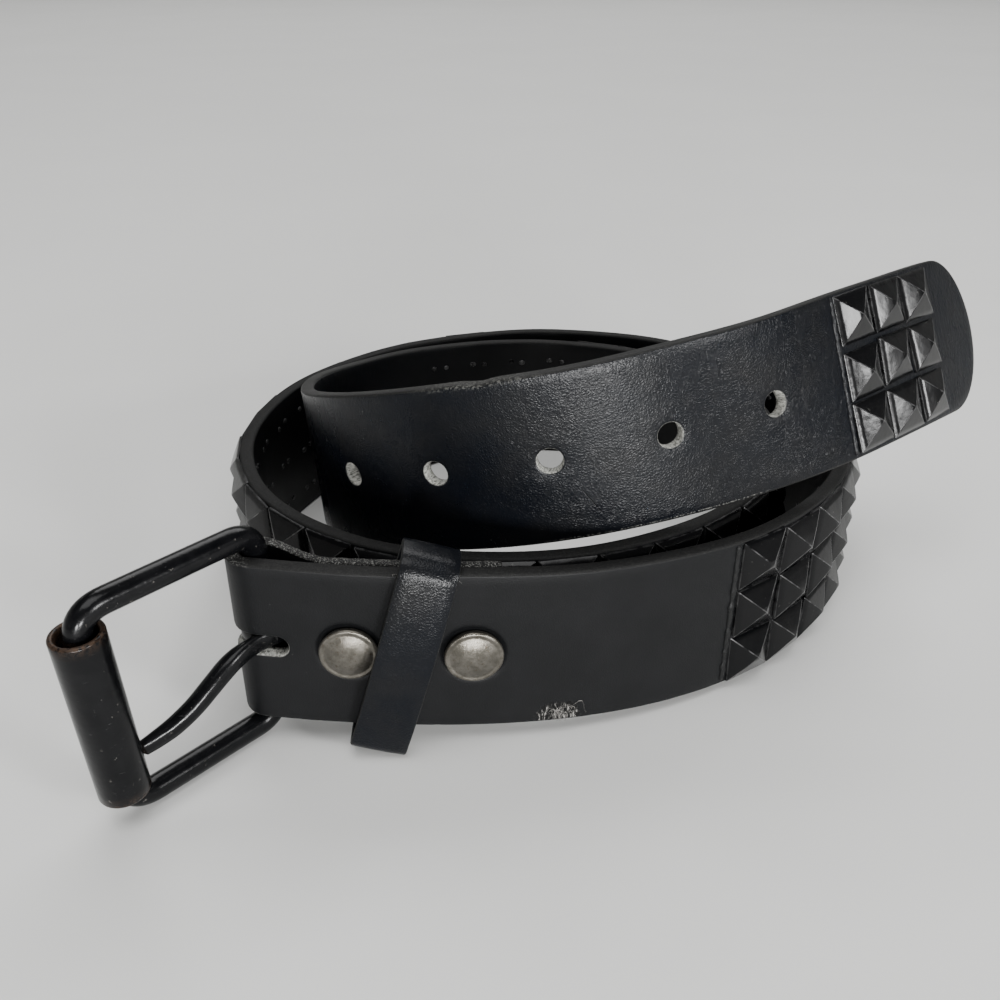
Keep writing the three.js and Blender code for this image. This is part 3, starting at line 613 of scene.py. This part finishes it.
def make_strap():
    """The leather: front and back faces on one grid, thickness(along)/2 either side of the
    middle; a rounded edge carried along the outline; and rings that lead from each cut-out
    block of cells to the hole, through the leather and out again."""
    along, across = face_grid()
    count = along.size
    index = np.arange(count).reshape(along.shape)
    columns, rows = along.shape
    kept = np.ones((columns - 1, rows - 1), bool)
    kept_back = kept.copy()
    face = leather_thickness(along.ravel()) / 2
    tables = {"along": [along.ravel()] * 2, "across": [across.ravel()] * 2,
              "depth": [face, -face],
              "side": [np.ones(count), -np.ones(count)], "wall": [np.zeros(count)] * 2}
    quads, fans = [], []
    total = 2 * count

    def add_ring(places, depth, side, wall):
        nonlocal total
        for key, value in zip(tables, (places[:, 0], places[:, 1], depth, side, wall)):
            tables[key].append(np.broadcast_to(value, len(places)).astype(float))
        numbers = total + np.arange(len(places))
        total += len(places)
        return numbers

    def station_of(value):
        return int(np.argmin(np.abs(along[:, rows // 2] - value)))

    def cut_block(low, high, reach, both=True):
        i0, i1, j0, j1 = low, high, rows // 2 - reach, rows // 2 + reach
        kept[i0:i1, j0:j1] = False
        if both:
            kept_back[i0:i1, j0:j1] = False
        loop = loop_round(i0, i1, j0, j1)
        numbers = index[loop[:, 0], loop[:, 1]]
        places = np.stack([along.ravel()[numbers], across.ravel()[numbers]], 1)
        return numbers, places

    def toward(places, start, end, radius):
        middle = np.stack([np.clip(places[:, 0], start, end), np.zeros(len(places))], 1)
        away = places - middle
        return middle + away * radius / np.linalg.norm(away, axis=1)[:, None]

    cuts = [(at, at, HOLE_RADIUS, station_of(at) - 3, station_of(at) + 3, 3) for at in HOLES]
    inner = SLOT_REACH - SLOT_RADIUS
    cuts.append((-BEND_LENGTH - inner, inner, SLOT_RADIUS,
                 station_of(-BEND_LENGTH - SLOT_BLOCK), station_of(SLOT_BLOCK), 2))
    # How much wider than the hole, how deep in the half thickness, which side, how much a wall.
    wall_rings = [(0.5, 1.0, 1, 0), (0.2, 0.97, 1, 0), (0.04, 0.86, 0.3, 0.6), (0, 0.7, 0, 1),
                  (0, 0.2, 0, 1), (0, -0.3, 0, 1), (0.04, -0.86, -0.3, 0.6), (0.2, -0.97, -1, 0),
                  (0.5, -1.0, -1, 0)]
    for start, end, radius, low, high, reach in cuts:
        numbers, places = cut_block(low, high, reach)
        rim = toward(places, start, end, radius + wall_rings[0][0])
        middle = (places + rim) / 2
        half = leather_thickness(middle[:, 0]) / 2
        rings = [numbers, add_ring(middle, half, 1, 0)]
        for wider, level, side, wall in wall_rings:
            ring = toward(places, start, end, radius + wider)
            rings.append(add_ring(ring, leather_thickness(ring[:, 0]) / 2 * level, side, wall))
        rings += [add_ring(middle, -half, -1, 0), numbers + count]
        quads.append(grid_quads(np.array(rings).T, round_rows=True))

    # The leather is pressed in round each snap, in rings of a radius and a depth.
    pressed = ((7.7, 0.0), (7.1, 0.04), (6.75, 0.16), (6.45, 0.38), (6.1, 0.5), (3, 0.5))
    for at in SNAPS:
        numbers, places = cut_block(station_of(at) - 4, station_of(at) + 4, 4, both=False)
        rings = [numbers]
        for radius, sink in pressed:
            ring = toward(places, at, at, radius)
            rings.append(add_ring(ring, HALF_STRAP - sink, 1, 0))
        quads.append(grid_quads(np.array(rings).T, round_rows=True))
        centre = add_ring(np.array([[at, 0.0]]), HALF_STRAP - pressed[-1][1], 1, 0)[0]
        last = rings[-1]
        fans.append(np.stack([last, np.roll(last, -1), np.full(len(last), centre)], 1))

    loop = loop_round(0, columns - 1, 0, rows - 1)
    border = index[loop[:, 0], loop[:, 1]]
    places = np.stack([along.ravel()[border], across.ravel()[border]], 1)
    normals = border_normals(places[:, 0], places[:, 1])
    half = leather_thickness(places[:, 0]) / 2
    strips = [border]
    for way, turns in ((1, (30, 60, 90)), (-1, (90, 60, 30))):
        for turn in np.radians(turns):
            level = way * (half - EDGE_ROUNDING * (1 - np.cos(turn)))
            strips.append(add_ring(places + normals * EDGE_ROUNDING * np.sin(turn), level, 0, 0))
    strips.append(border + count)
    quads.append(grid_quads(np.array(strips).T, round_rows=True)[:, [1, 0, 3, 2]])

    cells = grid_quads(index)
    quads.append(cells[kept.ravel()])
    quads.append(cells[kept_back.ravel()][:, ::-1] + count)
    values = {key: np.concatenate(value) for key, value in tables.items()}
    # The cut upper edge sways a little, as two sine waves, and has one bell-shaped dent.
    sway = 0.16 * np.sin(values["along"] / 19.3) + 0.10 * np.sin(values["along"] / 6.7 + 1.3)
    swayed = values["across"] + sway * smooth(0, STRAP_WIDTH / 2, values["across"])
    dent = 0.5 * np.exp(-((values["along"] - DENT_AT) / 2.4) ** 2)
    dent = dent * smooth(16, 18.6, values["across"])
    points = strap_point(values["along"], swayed - dent, values["depth"])
    uv = np.stack([values["along"], values["across"]], 1)
    shown = {key: values[key] for key in ("depth", "side", "wall")}
    strap = make_piece("strap_leather", "belt", LEATHER, points,
                       [np.concatenate(quads), np.concatenate(fans)], uv, shown)
    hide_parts("strap")


# Studs

STUD_RINGS = np.array([
    # share of the half size, height from base to apex
    (1.0, -0.45), (1.0, 0.0), (0.985, 0.05), (0.76, 0.30), (0.46, 0.61), (0.20, 0.86),
    (0.04, 0.995),
])


def make_studs(name, node, start, columns, size, apex, seed):
    """Pyramid studs as rigid tiles. Each is eight-cornered rings, half size times the ring's
    share, the corners cut back by the ridge's width; rings rise from foot to apex. Facets
    between rings bulge a little, and a narrow ridge runs up each corner."""
    random = np.random.default_rng(seed)
    # How unevenly they are set: off their row, off square, and off size.
    off_row, off_square, off_size, ridge = 0.12, 0.022, 0.012, 0.16
    at = start + STUD_PITCH * (np.arange(columns) + 0.5)
    along, across = [table.ravel() for table in np.meshgrid(at, STUD_ROWS, indexing="ij")]
    number = len(along)
    middle, out, up = run_frame(along)
    middle = middle + up * (across + random.normal(0, off_row, number))[:, None]
    tilt = random.normal(0, off_square, (number, 2))
    ahead = np.cross(up, out)
    out = unit(out + up * tilt[:, :1] + ahead * tilt[:, 1:])
    up = unit(np.cross(out, ahead))
    ahead = np.cross(up, out)
    share, level = STUD_RINGS.T
    half = share[:, None] * np.array(size) / 2
    cut = np.minimum(ridge, half.min(1) * 0.45)
    signs = np.array([(1, -1), (1, 1), (1, 1), (-1, 1), (-1, 1), (-1, -1), (-1, -1), (1, -1)])
    short = np.array([(0, 1), (0, 1), (1, 0), (1, 0), (0, 1), (0, 1), (1, 0), (1, 0)])
    plan = signs * (half[:, None, :] - short * cut[:, None, None])
    height = np.where(level < 0, STUD_FOOT + level, STUD_FOOT + level * (apex - STUD_FOOT))
    scale = (1 + random.normal(0, off_size, number))[:, None, None, None]
    points = (middle[:, None, None] + ahead[:, None, None] * plan[None, ..., :1] * scale
              + up[:, None, None] * plan[None, ..., 1:] * scale
              + out[:, None, None] * height[None, :, None, None])
    rings = len(share)
    index = np.arange(number * rings * 8).reshape(number, rings, 8)
    caps = [ends[:, corners] for corners in OCTAGON for ends in (index[:, -1], index[:, 0, ::-1])]
    plan_uv = plan / (np.array(size) / 2)
    uv = np.broadcast_to(plan_uv, (number, rings, 8, 2)).reshape(-1, 2)
    tone = np.repeat(random.random(number), rings * 8)
    piece = make_piece(name, "belt", STUDS, points.reshape(-1, 3),
                       [ring_quads(index), *caps], uv, {"seed": tone})
    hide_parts(node)
    # Edges that run up a corner are sharp, and so are those of the two lowest rings.
    mesh = piece.data
    pairs = np.empty(len(mesh.edges) * 2, np.int32)
    mesh.edges.foreach_get("vertices", pairs)
    first, second = pairs.reshape(-1, 2).T
    low = (first // 8 % rings < 2) & (second // 8 % rings < 2)
    mesh.edges.foreach_set("use_edge_sharp", (first % 8 == second % 8) | low)


def make_prong_marks():
    """The studs' prongs, bent over on the inner face, two to a stud: flat ovals in rings of a
    radius and a height, from a rim sunk in the leather to a low middle."""
    at = np.concatenate([FIELD_START + STUD_PITCH * (np.arange(2 * FIELD_COLUMNS) + 0.5),
                         TIP_BLOCK + STUD_PITCH * (np.arange(TIP_COLUMNS) + 0.5)])
    random = np.random.default_rng(31)
    apart, sides, rings = 1.9, 8, 3
    spread = np.meshgrid(at, STUD_ROWS, (-apart, apart), indexing="ij")
    along, across, shift = [table.ravel() for table in spread]
    number = len(along)
    along = along + shift + random.normal(0, 0.3, number)
    across = across + random.normal(0, 0.35, number)
    turn = round_turn(sides)
    radius = np.array([1.0, 0.72, 0.0])[:, None]
    height = np.array([-0.15, 0.22, 0.36])[None, :, None]
    long, wide = 1.0 + random.random((2, number)) * 0.3
    ring_along = along[:, None, None] + long[:, None, None] * (radius * np.cos(turn))
    ring_across = across[:, None, None] + 0.75 * wide[:, None, None] * (radius * np.sin(turn))
    lift = height + np.zeros_like(ring_along)
    points = strap_point(ring_along, ring_across, -HALF_STRAP - lift).reshape(-1, 3)
    index = np.arange(len(points)).reshape(number, rings, sides)
    quads = ring_quads(index[:, :2])[:, [0, 3, 2, 1]]
    middles = np.broadcast_to(index[:, 2, :1], (number, sides))
    tips = np.stack([index[:, 1], middles, np.roll(index[:, 1], -1, 1)], -1).reshape(-1, 3)
    under = [index[:, 0][:, corners] for corners in OCTAGON]
    # Their pattern place and tone make them a plain facet of the stud finish.
    uv = np.full((len(points), 2), 0.3)
    tone = np.repeat(random.random(number), rings * sides)
    make_piece("prong_marks", "belt", STUDS, points, [quads, tips, *under],
               uv, {"seed": tone})


def make_seam_bead(name, along):
    """A crimped bead of leather beside a stud block: an oval rod half sunk in the strap, carried
    up its width, its radius 0.55 + 0.10 * noise, its place swaying by 0.12 * noise."""
    random = np.random.default_rng(int(along))
    steps, round_steps = 76, 10
    across = np.linspace(-18.2, 18.2, steps)
    rough = random.normal(0, 1, steps)
    radius = 0.55 + 0.10 * np.convolve(rough, np.ones(2) / 2, "same")
    sway = 0.12 * np.convolve(random.normal(0, 1, steps), np.ones(3) / 3, "same")
    radius[[0, -1]] = 0.05
    turn = round_turn(round_steps)
    grid_along = along + sway[:, None] + radius[:, None] * 1.15 * np.cos(turn)
    grid_out = HALF_STRAP + radius[:, None] * 0.9 * np.sin(turn)
    grid_across = np.broadcast_to(across[:, None], grid_along.shape)
    points = strap_point(grid_along, grid_across, grid_out).reshape(-1, 3)
    index = np.arange(len(points)).reshape(steps, round_steps)
    quads = grid_quads(index, round_columns=True)
    ends = np.concatenate([fan(index[0]), fan(index[-1, ::-1])])
    uv = np.stack([grid_along.ravel(), grid_across.ravel()], 1)
    values = {"depth": grid_out.ravel(), "side": np.full(len(points), 1.0),
              "wall": np.full(len(points), 0.012)}
    make_piece(name, "belt", LEATHER, points, [quads[:, ::-1], ends[:, ::-1]],
               uv, values)


# Snaps

def turned_piece(name, body, finish, centre, axis, profile, steps, worn=None):
    """A profile of (radius, height) rows turned about an axis; ends on the axis are closed
    with fans."""
    on_axis = 0.35
    side = np.cross(axis, [0, 0, 1.0])
    side = side / np.linalg.norm(side) if np.linalg.norm(side) > 0.01 else np.array([1.0, 0, 0])
    other = np.cross(axis, side)
    turn = round_turn(steps)
    ring = np.cos(turn)[:, None] * side + np.sin(turn)[:, None] * other
    radius, height = profile.T
    points = centre + ring[None] * radius[:, None, None] + axis * height[:, None, None]
    index = np.arange(len(profile) * steps).reshape(len(profile), steps)
    quads = grid_quads(index, round_columns=True)[:, ::-1]
    points = points.reshape(-1, 3)
    faces = [quads]
    for row, turned in ((0, False), (len(profile) - 1, True)):
        if radius[row] < on_axis:
            points = np.vstack([points, centre + axis * height[row]])
            pole = np.full(steps, len(points) - 1)
            ends = np.stack([index[row], np.roll(index[row], -1), pole], 1)
            faces.append(ends if turned else ends[:, ::-1])
    values = {"worn": np.zeros(len(points)) if worn is None else worn(points)}
    return make_piece(name, body, finish, points, faces, None, values)


def make_snaps():
    """Each cap is a rolled rim and a low dome turned about the snap's axis, with a flat rivet
    head on the inner face of the turned-back leather."""
    cap = [(0.3, -0.75), (5.3, -0.75), (5.75, -0.35), (6.05, 0.1), (6.12, 0.5), (5.92, 0.86),
           (5.55, 0.98), (5.15, 0.92), (4.85, 0.93), (4.2, 1.17), (3.3, 1.50), (2.2, 1.79),
           (1.1, 1.95), (0.3, 1.99)]
    head = [(0.3, -1.0), (2.9, -1.0), (3.3, -0.1), (3.35, 0.25), (3.0, 0.5), (1.5, 0.62),
            (0.3, 0.65)]
    inner_face = HALF_STRAP + SEAT_GAP + FOLDED_THICKNESS
    for k, at in enumerate(SNAPS):
        middle, out, _ = run_frame(np.array(at))
        piece = turned_piece(f"snap_dome_{k + 1}", "belt", NICKEL,
                             middle + out * (HALF_STRAP + SEAT_GAP), out, curve_through(cap, 4), 56)
        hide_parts(f"snap_cap_{k + 1}")
        turned_piece(f"snap_back_{k + 1}", "belt", NICKEL,
                     middle - out * inner_face, -out, curve_through(head, 4), 40)


# Keeper

def make_keeper():
    """A leather band: a rounded oblong section, width by wall, carried round a closed path with
    rounded corners that leans across the strap. Its foot stands forward, and its front bows
    out by bow * (1 - (2y/height)^2)."""
    width, wall, tilt = KEEPER_WIDTH, KEEPER_WALL, KEEPER_TILT
    height = STRAP_WIDTH / np.cos(tilt) + width * np.tan(tilt) + 2 * SEAT_GAP + wall
    back = -(HALF_STRAP + SEAT_GAP + FOLDED_THICKNESS) - SEAT_GAP - wall / 2
    front = HALF_STRAP + SEAT_GAP + wall / 2
    foot = front + KEEPER_FOOT
    corners = np.array([(back, -height / 2), (foot, -height / 2),
                        (front, height / 2), (back, height / 2)])
    path = rounded_path(corners, (1.9, 1.7, 3.3, 2.2), 9, (4, 14, 4, 14))
    path[:, 0] += KEEPER_BOW * smooth(0, front, path[:, 0]) * (1 - (2 * path[:, 1] / height) ** 2)
    outward = outward_of(path)

    rounded, crown_height = 0.42, 0.12
    turn = np.radians(np.arange(0, 360, 90)[:, None] + np.array([15, 45, 75]))
    signs = np.array([(1, 1), (-1, 1), (-1, -1), (1, -1)])
    bends = (signs[:, None] * np.array([wall / 2 - rounded, width / 2 - rounded])
             + rounded * np.stack([np.cos(turn), np.sin(turn)], -1))
    inset = np.linspace(-1, 1, 7)[1:-1] * (width / 2 - rounded)
    faces = [np.stack([np.full(len(inset), away), places], 1)
             for away, places in ((-wall / 2, inset[::-1]), (wall / 2, inset))]
    section = np.concatenate([bends[0], [[0, width / 2]], bends[1], faces[0],
                              bends[2], bends[3], faces[1]])
    crown = crown_height * (1 - (2 * section[:, 1] / width) ** 2)

    middle, out, _ = run_frame(np.array(KEEPER_AT))
    heading = np.arctan2(out[0], -out[1])
    rise = np.array([np.sin(tilt) * np.cos(heading), np.sin(tilt) * np.sin(heading), np.cos(tilt)])
    sideways = np.cross(out, rise)
    flat = path[:, None] + outward[:, None] * (section[:, :1] + crown[:, None])
    points = middle + flat[..., :1] * out + flat[..., 1:] * rise + section[None, :, 1:] * sideways
    index = np.arange(len(path) * len(section)).reshape(len(path), -1)
    quads = grid_quads(index, round_rows=True, round_columns=True)
    length = KEEPER_PATTERN_AT + np.cumsum(np.linalg.norm(path - np.roll(path, 1, 0), axis=1))
    uv = np.stack([np.repeat(length, len(section)), np.tile(section[:, 1], len(path))], 1)
    side = np.where(np.abs(section[:, 1]) > width / 2 - 0.25, 0.0, np.sign(section[:, 0]))
    values = {"depth": np.tile(section[:, 0], len(path)), "side": np.tile(side, len(path)),
              "wall": np.zeros(index.size)}
    piece = make_piece("keeper_leather", "belt", LEATHER, points.reshape(-1, 3),
                       [quads], uv, values)
    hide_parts("keeper_loop")


# Buckle: the frame's plane holds the heel bar's axis and the direction it swings to.

SWING = HEEL_HEADING + np.radians(FRAME_SWING)
REACH = np.array([np.cos(SWING), np.sin(SWING), 0])
FACING = np.array([-np.sin(SWING), np.cos(SWING), 0])
UPRIGHT = np.array([0, 0, 1.0])


def buckle_point(reach, facing, height, swing=0):
    """Heel bar's centre + reach along the frame + facing out of its plane + height, turned
    about the heel bar by the swing in degrees."""
    turn = np.radians(swing)
    ahead = REACH * np.cos(turn) + FACING * np.sin(turn)
    aside = FACING * np.cos(turn) - REACH * np.sin(turn)
    return (HEEL_CENTRE + ahead * reach[..., None] + aside * facing[..., None]
            + UPRIGHT * height[..., None])


def make_buckle_wire():
    """Round wire carried round a closed path: four straight bars joined by quadratic bends.
    It is worn where the roller turns on it."""
    half, sides = FRAME_HEIGHT / 2, 24
    corners = np.array([(0, -half), (FRAME_REACH - half * FAR_LEAN, -half),
                        (FRAME_REACH + half * FAR_LEAN, half), (0, half)])
    path = rounded_path(corners, (HEEL_BEND, FAR_BEND, FAR_BEND, HEEL_BEND), 13, (16,) * 4)
    outward = outward_of(path)
    turn = round_turn(sides)
    radius = WIRE_DIAMETER / 2
    flat = path[:, None] + outward[:, None] * (radius * np.cos(turn))[:, None]
    facing = np.broadcast_to(radius * np.sin(turn), flat.shape[:2])
    points = buckle_point(flat[..., 0], facing, flat[..., 1])
    index = np.arange(flat.shape[0] * sides).reshape(-1, sides)
    quads = grid_quads(index, round_rows=True, round_columns=True)[:, ::-1]
    worn_reach, worn_half = 2.2, 18.4
    on_far = np.exp(-((path[:, 0] - FRAME_REACH) / worn_reach) ** 2)
    on_far = on_far * (np.abs(path[:, 1]) < worn_half) * 0.6
    piece = make_piece("buckle_wire", "frame", ENAMEL, points.reshape(-1, 3),
                       [quads], None, {"worn": np.repeat(on_far, sides)})
    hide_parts("buckle_frame")


def make_roller():
    """An open tube: its wall's section, rounded at both ends, turned about the far bar. It is
    worn inside and at its ends."""
    lean = np.arctan(FAR_LEAN)
    axis = UPRIGHT * np.cos(lean) + REACH * np.sin(lean)
    centre = HEEL_CENTRE + REACH * FRAME_REACH
    half, radius, bore = ROLLER_HALF, ROLLER_RADIUS, ROLLER_BORE
    end = [(bore, -half + 0.3), (bore + 0.12, -half + 0.06), (bore + 0.35, -half),
           (radius - 0.5, -half), (radius - 0.12, -half + 0.16), (radius, -half + 0.5)]
    plain = half - 2.5
    section = end + [(radius, level) for level in np.linspace(-plain, plain, 12)]
    section += [(away, -level) for away, level in end[::-1]]
    section += [(bore, level) for level in np.linspace(plain, -plain, 6)]

    def rubbed(points):
        away = points - centre
        level = np.abs(away @ axis)
        from_axis = np.linalg.norm(away - (away @ axis)[:, None] * axis, axis=1)
        return np.maximum(from_axis < bore + 0.4, smooth(half - 0.8, half, level) * 0.8)

    piece = turned_piece("roller_tube", "roller", ENAMEL, centre, axis,
                         np.array(section + section[:1]), 48, rubbed)
    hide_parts("roller")


def make_tongue():
    """An eye turned round the heel bar, and a shank: an oval section carried along smooth cubic
    steps through a short table of reach, offset, drop, thickness and height. The oval is
    sign(c)|c|^blunt for the cosine and the sine of its turn."""
    bends = np.array([
        # reach, offset, drop, thick, tall
        (0, 0, 0, 0.55, 0.96), (0.12, 0.1, 0, 0.55, 1), (0.24, 0.4, 0.03, 0.8, 1),
        (0.36, 0.8, 0.13, 1, 1), (0.5, 1.2, 0.35, 1, 0.97), (0.64, 1.3, 0.6, 0.98, 0.95),
        (0.78, 1.1, 0.8, 0.9, 0.95), (0.9, 0.8, 0.92, 0.75, 0.92), (1, 0.5, 1, 0.6, 0.85),
    ])
    half_thick, half_tall, eye_wall, sides = 2.0, 2.1, 2, 20
    rows = curve_through(bends, 6)
    path = np.stack([rows[:, 0] * TONGUE_REACH, EYE_RADIUS + 1.16 + rows[:, 1],
                     -rows[:, 2] * TONGUE_DROP], 1)
    ahead = unit(np.gradient(path, axis=0))
    out = unit(np.array([0, 1.0, 0]) - ahead * ahead[:, 1:2])
    up = np.cross(ahead, out)
    turn = round_turn(sides)
    blunt = 0.88
    wave = np.stack([np.cos(turn), np.sin(turn)])
    wave = np.sign(wave) * np.abs(wave) ** blunt
    thick = rows[:, 3:4] * half_thick * wave[0]
    tall = rows[:, 4:] * half_tall * wave[1]
    shank = path[:, None] + out[:, None] * thick[..., None] + up[:, None] * tall[..., None]
    # The end is bevelled: two last rings draw in.
    bevel = [shank[-1] * (1 - s) + path[-1] * s + ahead[-1] * s * 1.2 for s in (0.18, 0.5)]
    shank = np.concatenate([shank, np.array(bevel)])
    points = buckle_point(shank[..., 0], shank[..., 1], shank[..., 2], TONGUE_SWING).reshape(-1, 3)
    index = np.arange(len(points)).reshape(-1, sides)
    quads = grid_quads(index, round_columns=True)
    ends = np.concatenate([fan(index[0, ::-1]), fan(index[-1])])
    shank_worn = np.repeat(smooth(0.93, 1.0, np.linspace(0, 1, len(shank))) * 0.25, sides)

    inner, outer, high = EYE_RADIUS - 0.2, EYE_RADIUS + eye_wall, half_tall
    ring = np.array([(inner, -high + 0.3), (inner + 0.3, -high), (outer - 0.5, -high),
                     (outer, -high + 0.5), (outer, high - 0.5), (outer - 0.5, high),
                     (inner + 0.3, high), (inner, high - 0.3)])
    eye_steps = 40
    angle = round_turn(eye_steps)[:, None]
    eye = buckle_point(ring[:, 0] * np.cos(angle), ring[:, 0] * np.sin(angle),
                       np.broadcast_to(ring[:, 1], (eye_steps, len(ring))))
    eye_index = len(points) + np.arange(eye_steps * len(ring)).reshape(eye_steps, -1)
    eye_quads = grid_quads(eye_index, round_rows=True, round_columns=True)
    values = {"worn": np.concatenate([shank_worn, np.zeros(eye_index.size)])}
    piece = make_piece("tongue_wire", "tongue", ENAMEL,
                       np.vstack([points, eye.reshape(-1, 3)]),
                       [quads[:, ::-1], ends[:, ::-1], eye_quads], None, values)
    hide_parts("tongue")


# Fibres

def make_fibres(name, seed, count, middle, spread, length, thickness, lie):
    """Short torn fibres: each a three-sided thread of six rings along a straight line with a
    sine wave across it, tapering to its end. `lie` is their direction and how it varies."""
    random = np.random.default_rng(seed)
    start = middle + random.normal(0, 1, (count, 2)) * spread
    angle = lie[0] + random.normal(0, lie[1], count)[:, None]
    size = length * (0.5 + random.random(count))[:, None]
    t = np.linspace(0, 1, 6)
    bow = random.normal(0, 0.22, (count, 1)) * size
    wave = bow * np.sin(t * np.pi * (1 + random.random((count, 1))))
    along = start[:, :1] + size * t * np.cos(angle) - wave * np.sin(angle)
    across = start[:, 1:] + size * t * np.sin(angle) + wave * np.cos(angle)
    # They stay on the strap, or a little over its upper edge.
    across = np.clip(across, -18.9, 19.6)
    lift = HALF_STRAP + 0.02 + random.random((count, 1)) * 0.5 * np.sin(t * np.pi * 0.8)
    turn = round_turn(3)
    radius = (thickness * (0.6 + 0.8 * random.random((count, 1))) * (1 - 0.75 * t))[..., None]
    aside = radius * np.cos(turn)
    points = strap_point(along[..., None] - aside * np.sin(angle)[..., None],
                         across[..., None] + aside * np.cos(angle)[..., None],
                         lift[..., None] + radius * np.sin(turn)).reshape(-1, 3)
    index = np.arange(len(points)).reshape(count, len(t), 3)
    quads = ring_quads(index)
    ends = np.concatenate([index[:, 0, ::-1], index[:, -1]])
    make_piece(name, "belt", FIBRES, points, [quads[:, ::-1], ends[:, ::-1]])


make_strap()
make_studs("stud_rows_outer", "stud_field_outer", FIELD_START, FIELD_COLUMNS, STUD_SIZE, 5.15, 11)
make_studs("stud_rows_inner", "stud_field_inner",
           FIELD_START + FIELD_COLUMNS * STUD_PITCH + SEAT_GAP, FIELD_COLUMNS, STUD_SIZE, 5.1, 12)
make_studs("tip_stud_block", "tip_studs", TIP_BLOCK, TIP_COLUMNS, TIP_STUD_SIZE, 4.45, 13)
make_prong_marks()
make_seam_bead("front_seam_bead", FIELD_START - 0.9)
make_seam_bead("tip_seam_bead", TIP_BLOCK - 0.8)
make_snaps()
make_keeper()
make_buckle_wire()
make_roller()
make_tongue()
make_fibres("torn_fibres", 5, 38, np.array([61.6, -15.6]), np.array([1.2, 0.9]), 2.6, 0.035,
            (-1.2, 0.45))
make_fibres("keeper_fuzz", 6, 26, np.array([36.5, 18.6]), np.array([3.2, 0.25]), 1.1, 0.035,
            (0.9, 0.9))


# Floor, light and camera

def make_floor():
    """A round sheet, flat to `flat` mm from the belt, then a quarter circle up to a low wall,
    turned about the upright axis."""
    flat, cove, wall_top, sides = 3600, 900, 2600, 72
    turn = np.linspace(0, np.pi / 2, 12)[1:]
    radius = np.concatenate([[400, 1200, 2400, 3500, flat], flat + cove * np.sin(turn),
                             [flat + cove]])
    height = np.concatenate([np.zeros(5), cove * (1 - np.cos(turn)), [wall_top]])
    angle = round_turn(sides)
    rings = np.stack([radius[:, None] * np.cos(angle), radius[:, None] * np.sin(angle),
                      np.broadcast_to(height[:, None], (len(height), sides))], -1)
    index = np.arange(rings.size // 3).reshape(rings.shape[:2])
    faces = grid_quads(index, round_columns=True).tolist() + [index[0].tolist()]
    mesh = bpy.data.meshes.new("floor")
    mesh.from_pydata((rings.reshape(-1, 3) * MM).tolist(), [], faces)
    mesh.polygons.foreach_set("use_smooth", [True] * len(mesh.polygons))
    mesh.materials.append(floor_finish())
    floor = bpy.data.objects.new("floor", mesh)
    bpy.context.scene.collection.objects.link(floor)


def add_light(name, azimuth, elevation, distance, size, power):
    """A soft rectangular light in a direction from the belt, aimed at its middle height."""
    light = bpy.data.lights.new(name, "AREA")
    light.shape = "RECTANGLE"
    light.size, light.size_y = size
    light.energy = power
    lamp = bpy.data.objects.new(name, light)
    a, e = np.radians([azimuth, elevation])
    way = np.array([np.cos(a) * np.cos(e), np.sin(a) * np.cos(e), np.sin(e)])
    lamp.location = way * distance + np.array([0, 0, 0.03])
    lamp.rotation_euler = (np.pi / 2 - e, 0, a + np.pi / 2)
    bpy.context.scene.collection.objects.link(lamp)


make_floor()
# Three low windows give the highlights on the tip, its studs and the keeper.
add_light("low_window", 287, 5, 1.5, (0.24, 0.20), 18)
add_light("stud_window", 322, 19, 1.5, (0.30, 0.28), 14)
add_light("keeper_window", 268, 6, 1.5, (0.14, 0.24), 15)
add_light("top_light", 260, 74, 1.7, (1.3, 1.1), 19)
add_light("back_light", 88, 50, 3.8, (3.6, 1.8), 96)
world = bpy.data.worlds.new("dim_room")
world.use_nodes = True
world.node_tree.nodes["Background"].inputs["Color"].default_value = (0.30, 0.30, 0.31, 1)
world.node_tree.nodes["Background"].inputs["Strength"].default_value = 0.32
bpy.context.scene.world = world

# Lens, place and tilt fitted to the photograph.
camera = bpy.data.objects.new("camera", bpy.data.cameras.new("camera"))
camera.data.lens = 36.18
camera.data.sensor_width = 36
camera.location = (-0.02211, -0.22627, 0.1509)
camera.rotation_euler = (np.radians(60.53), 0, 0)
bpy.context.scene.collection.objects.link(camera)
bpy.context.scene.camera = camera
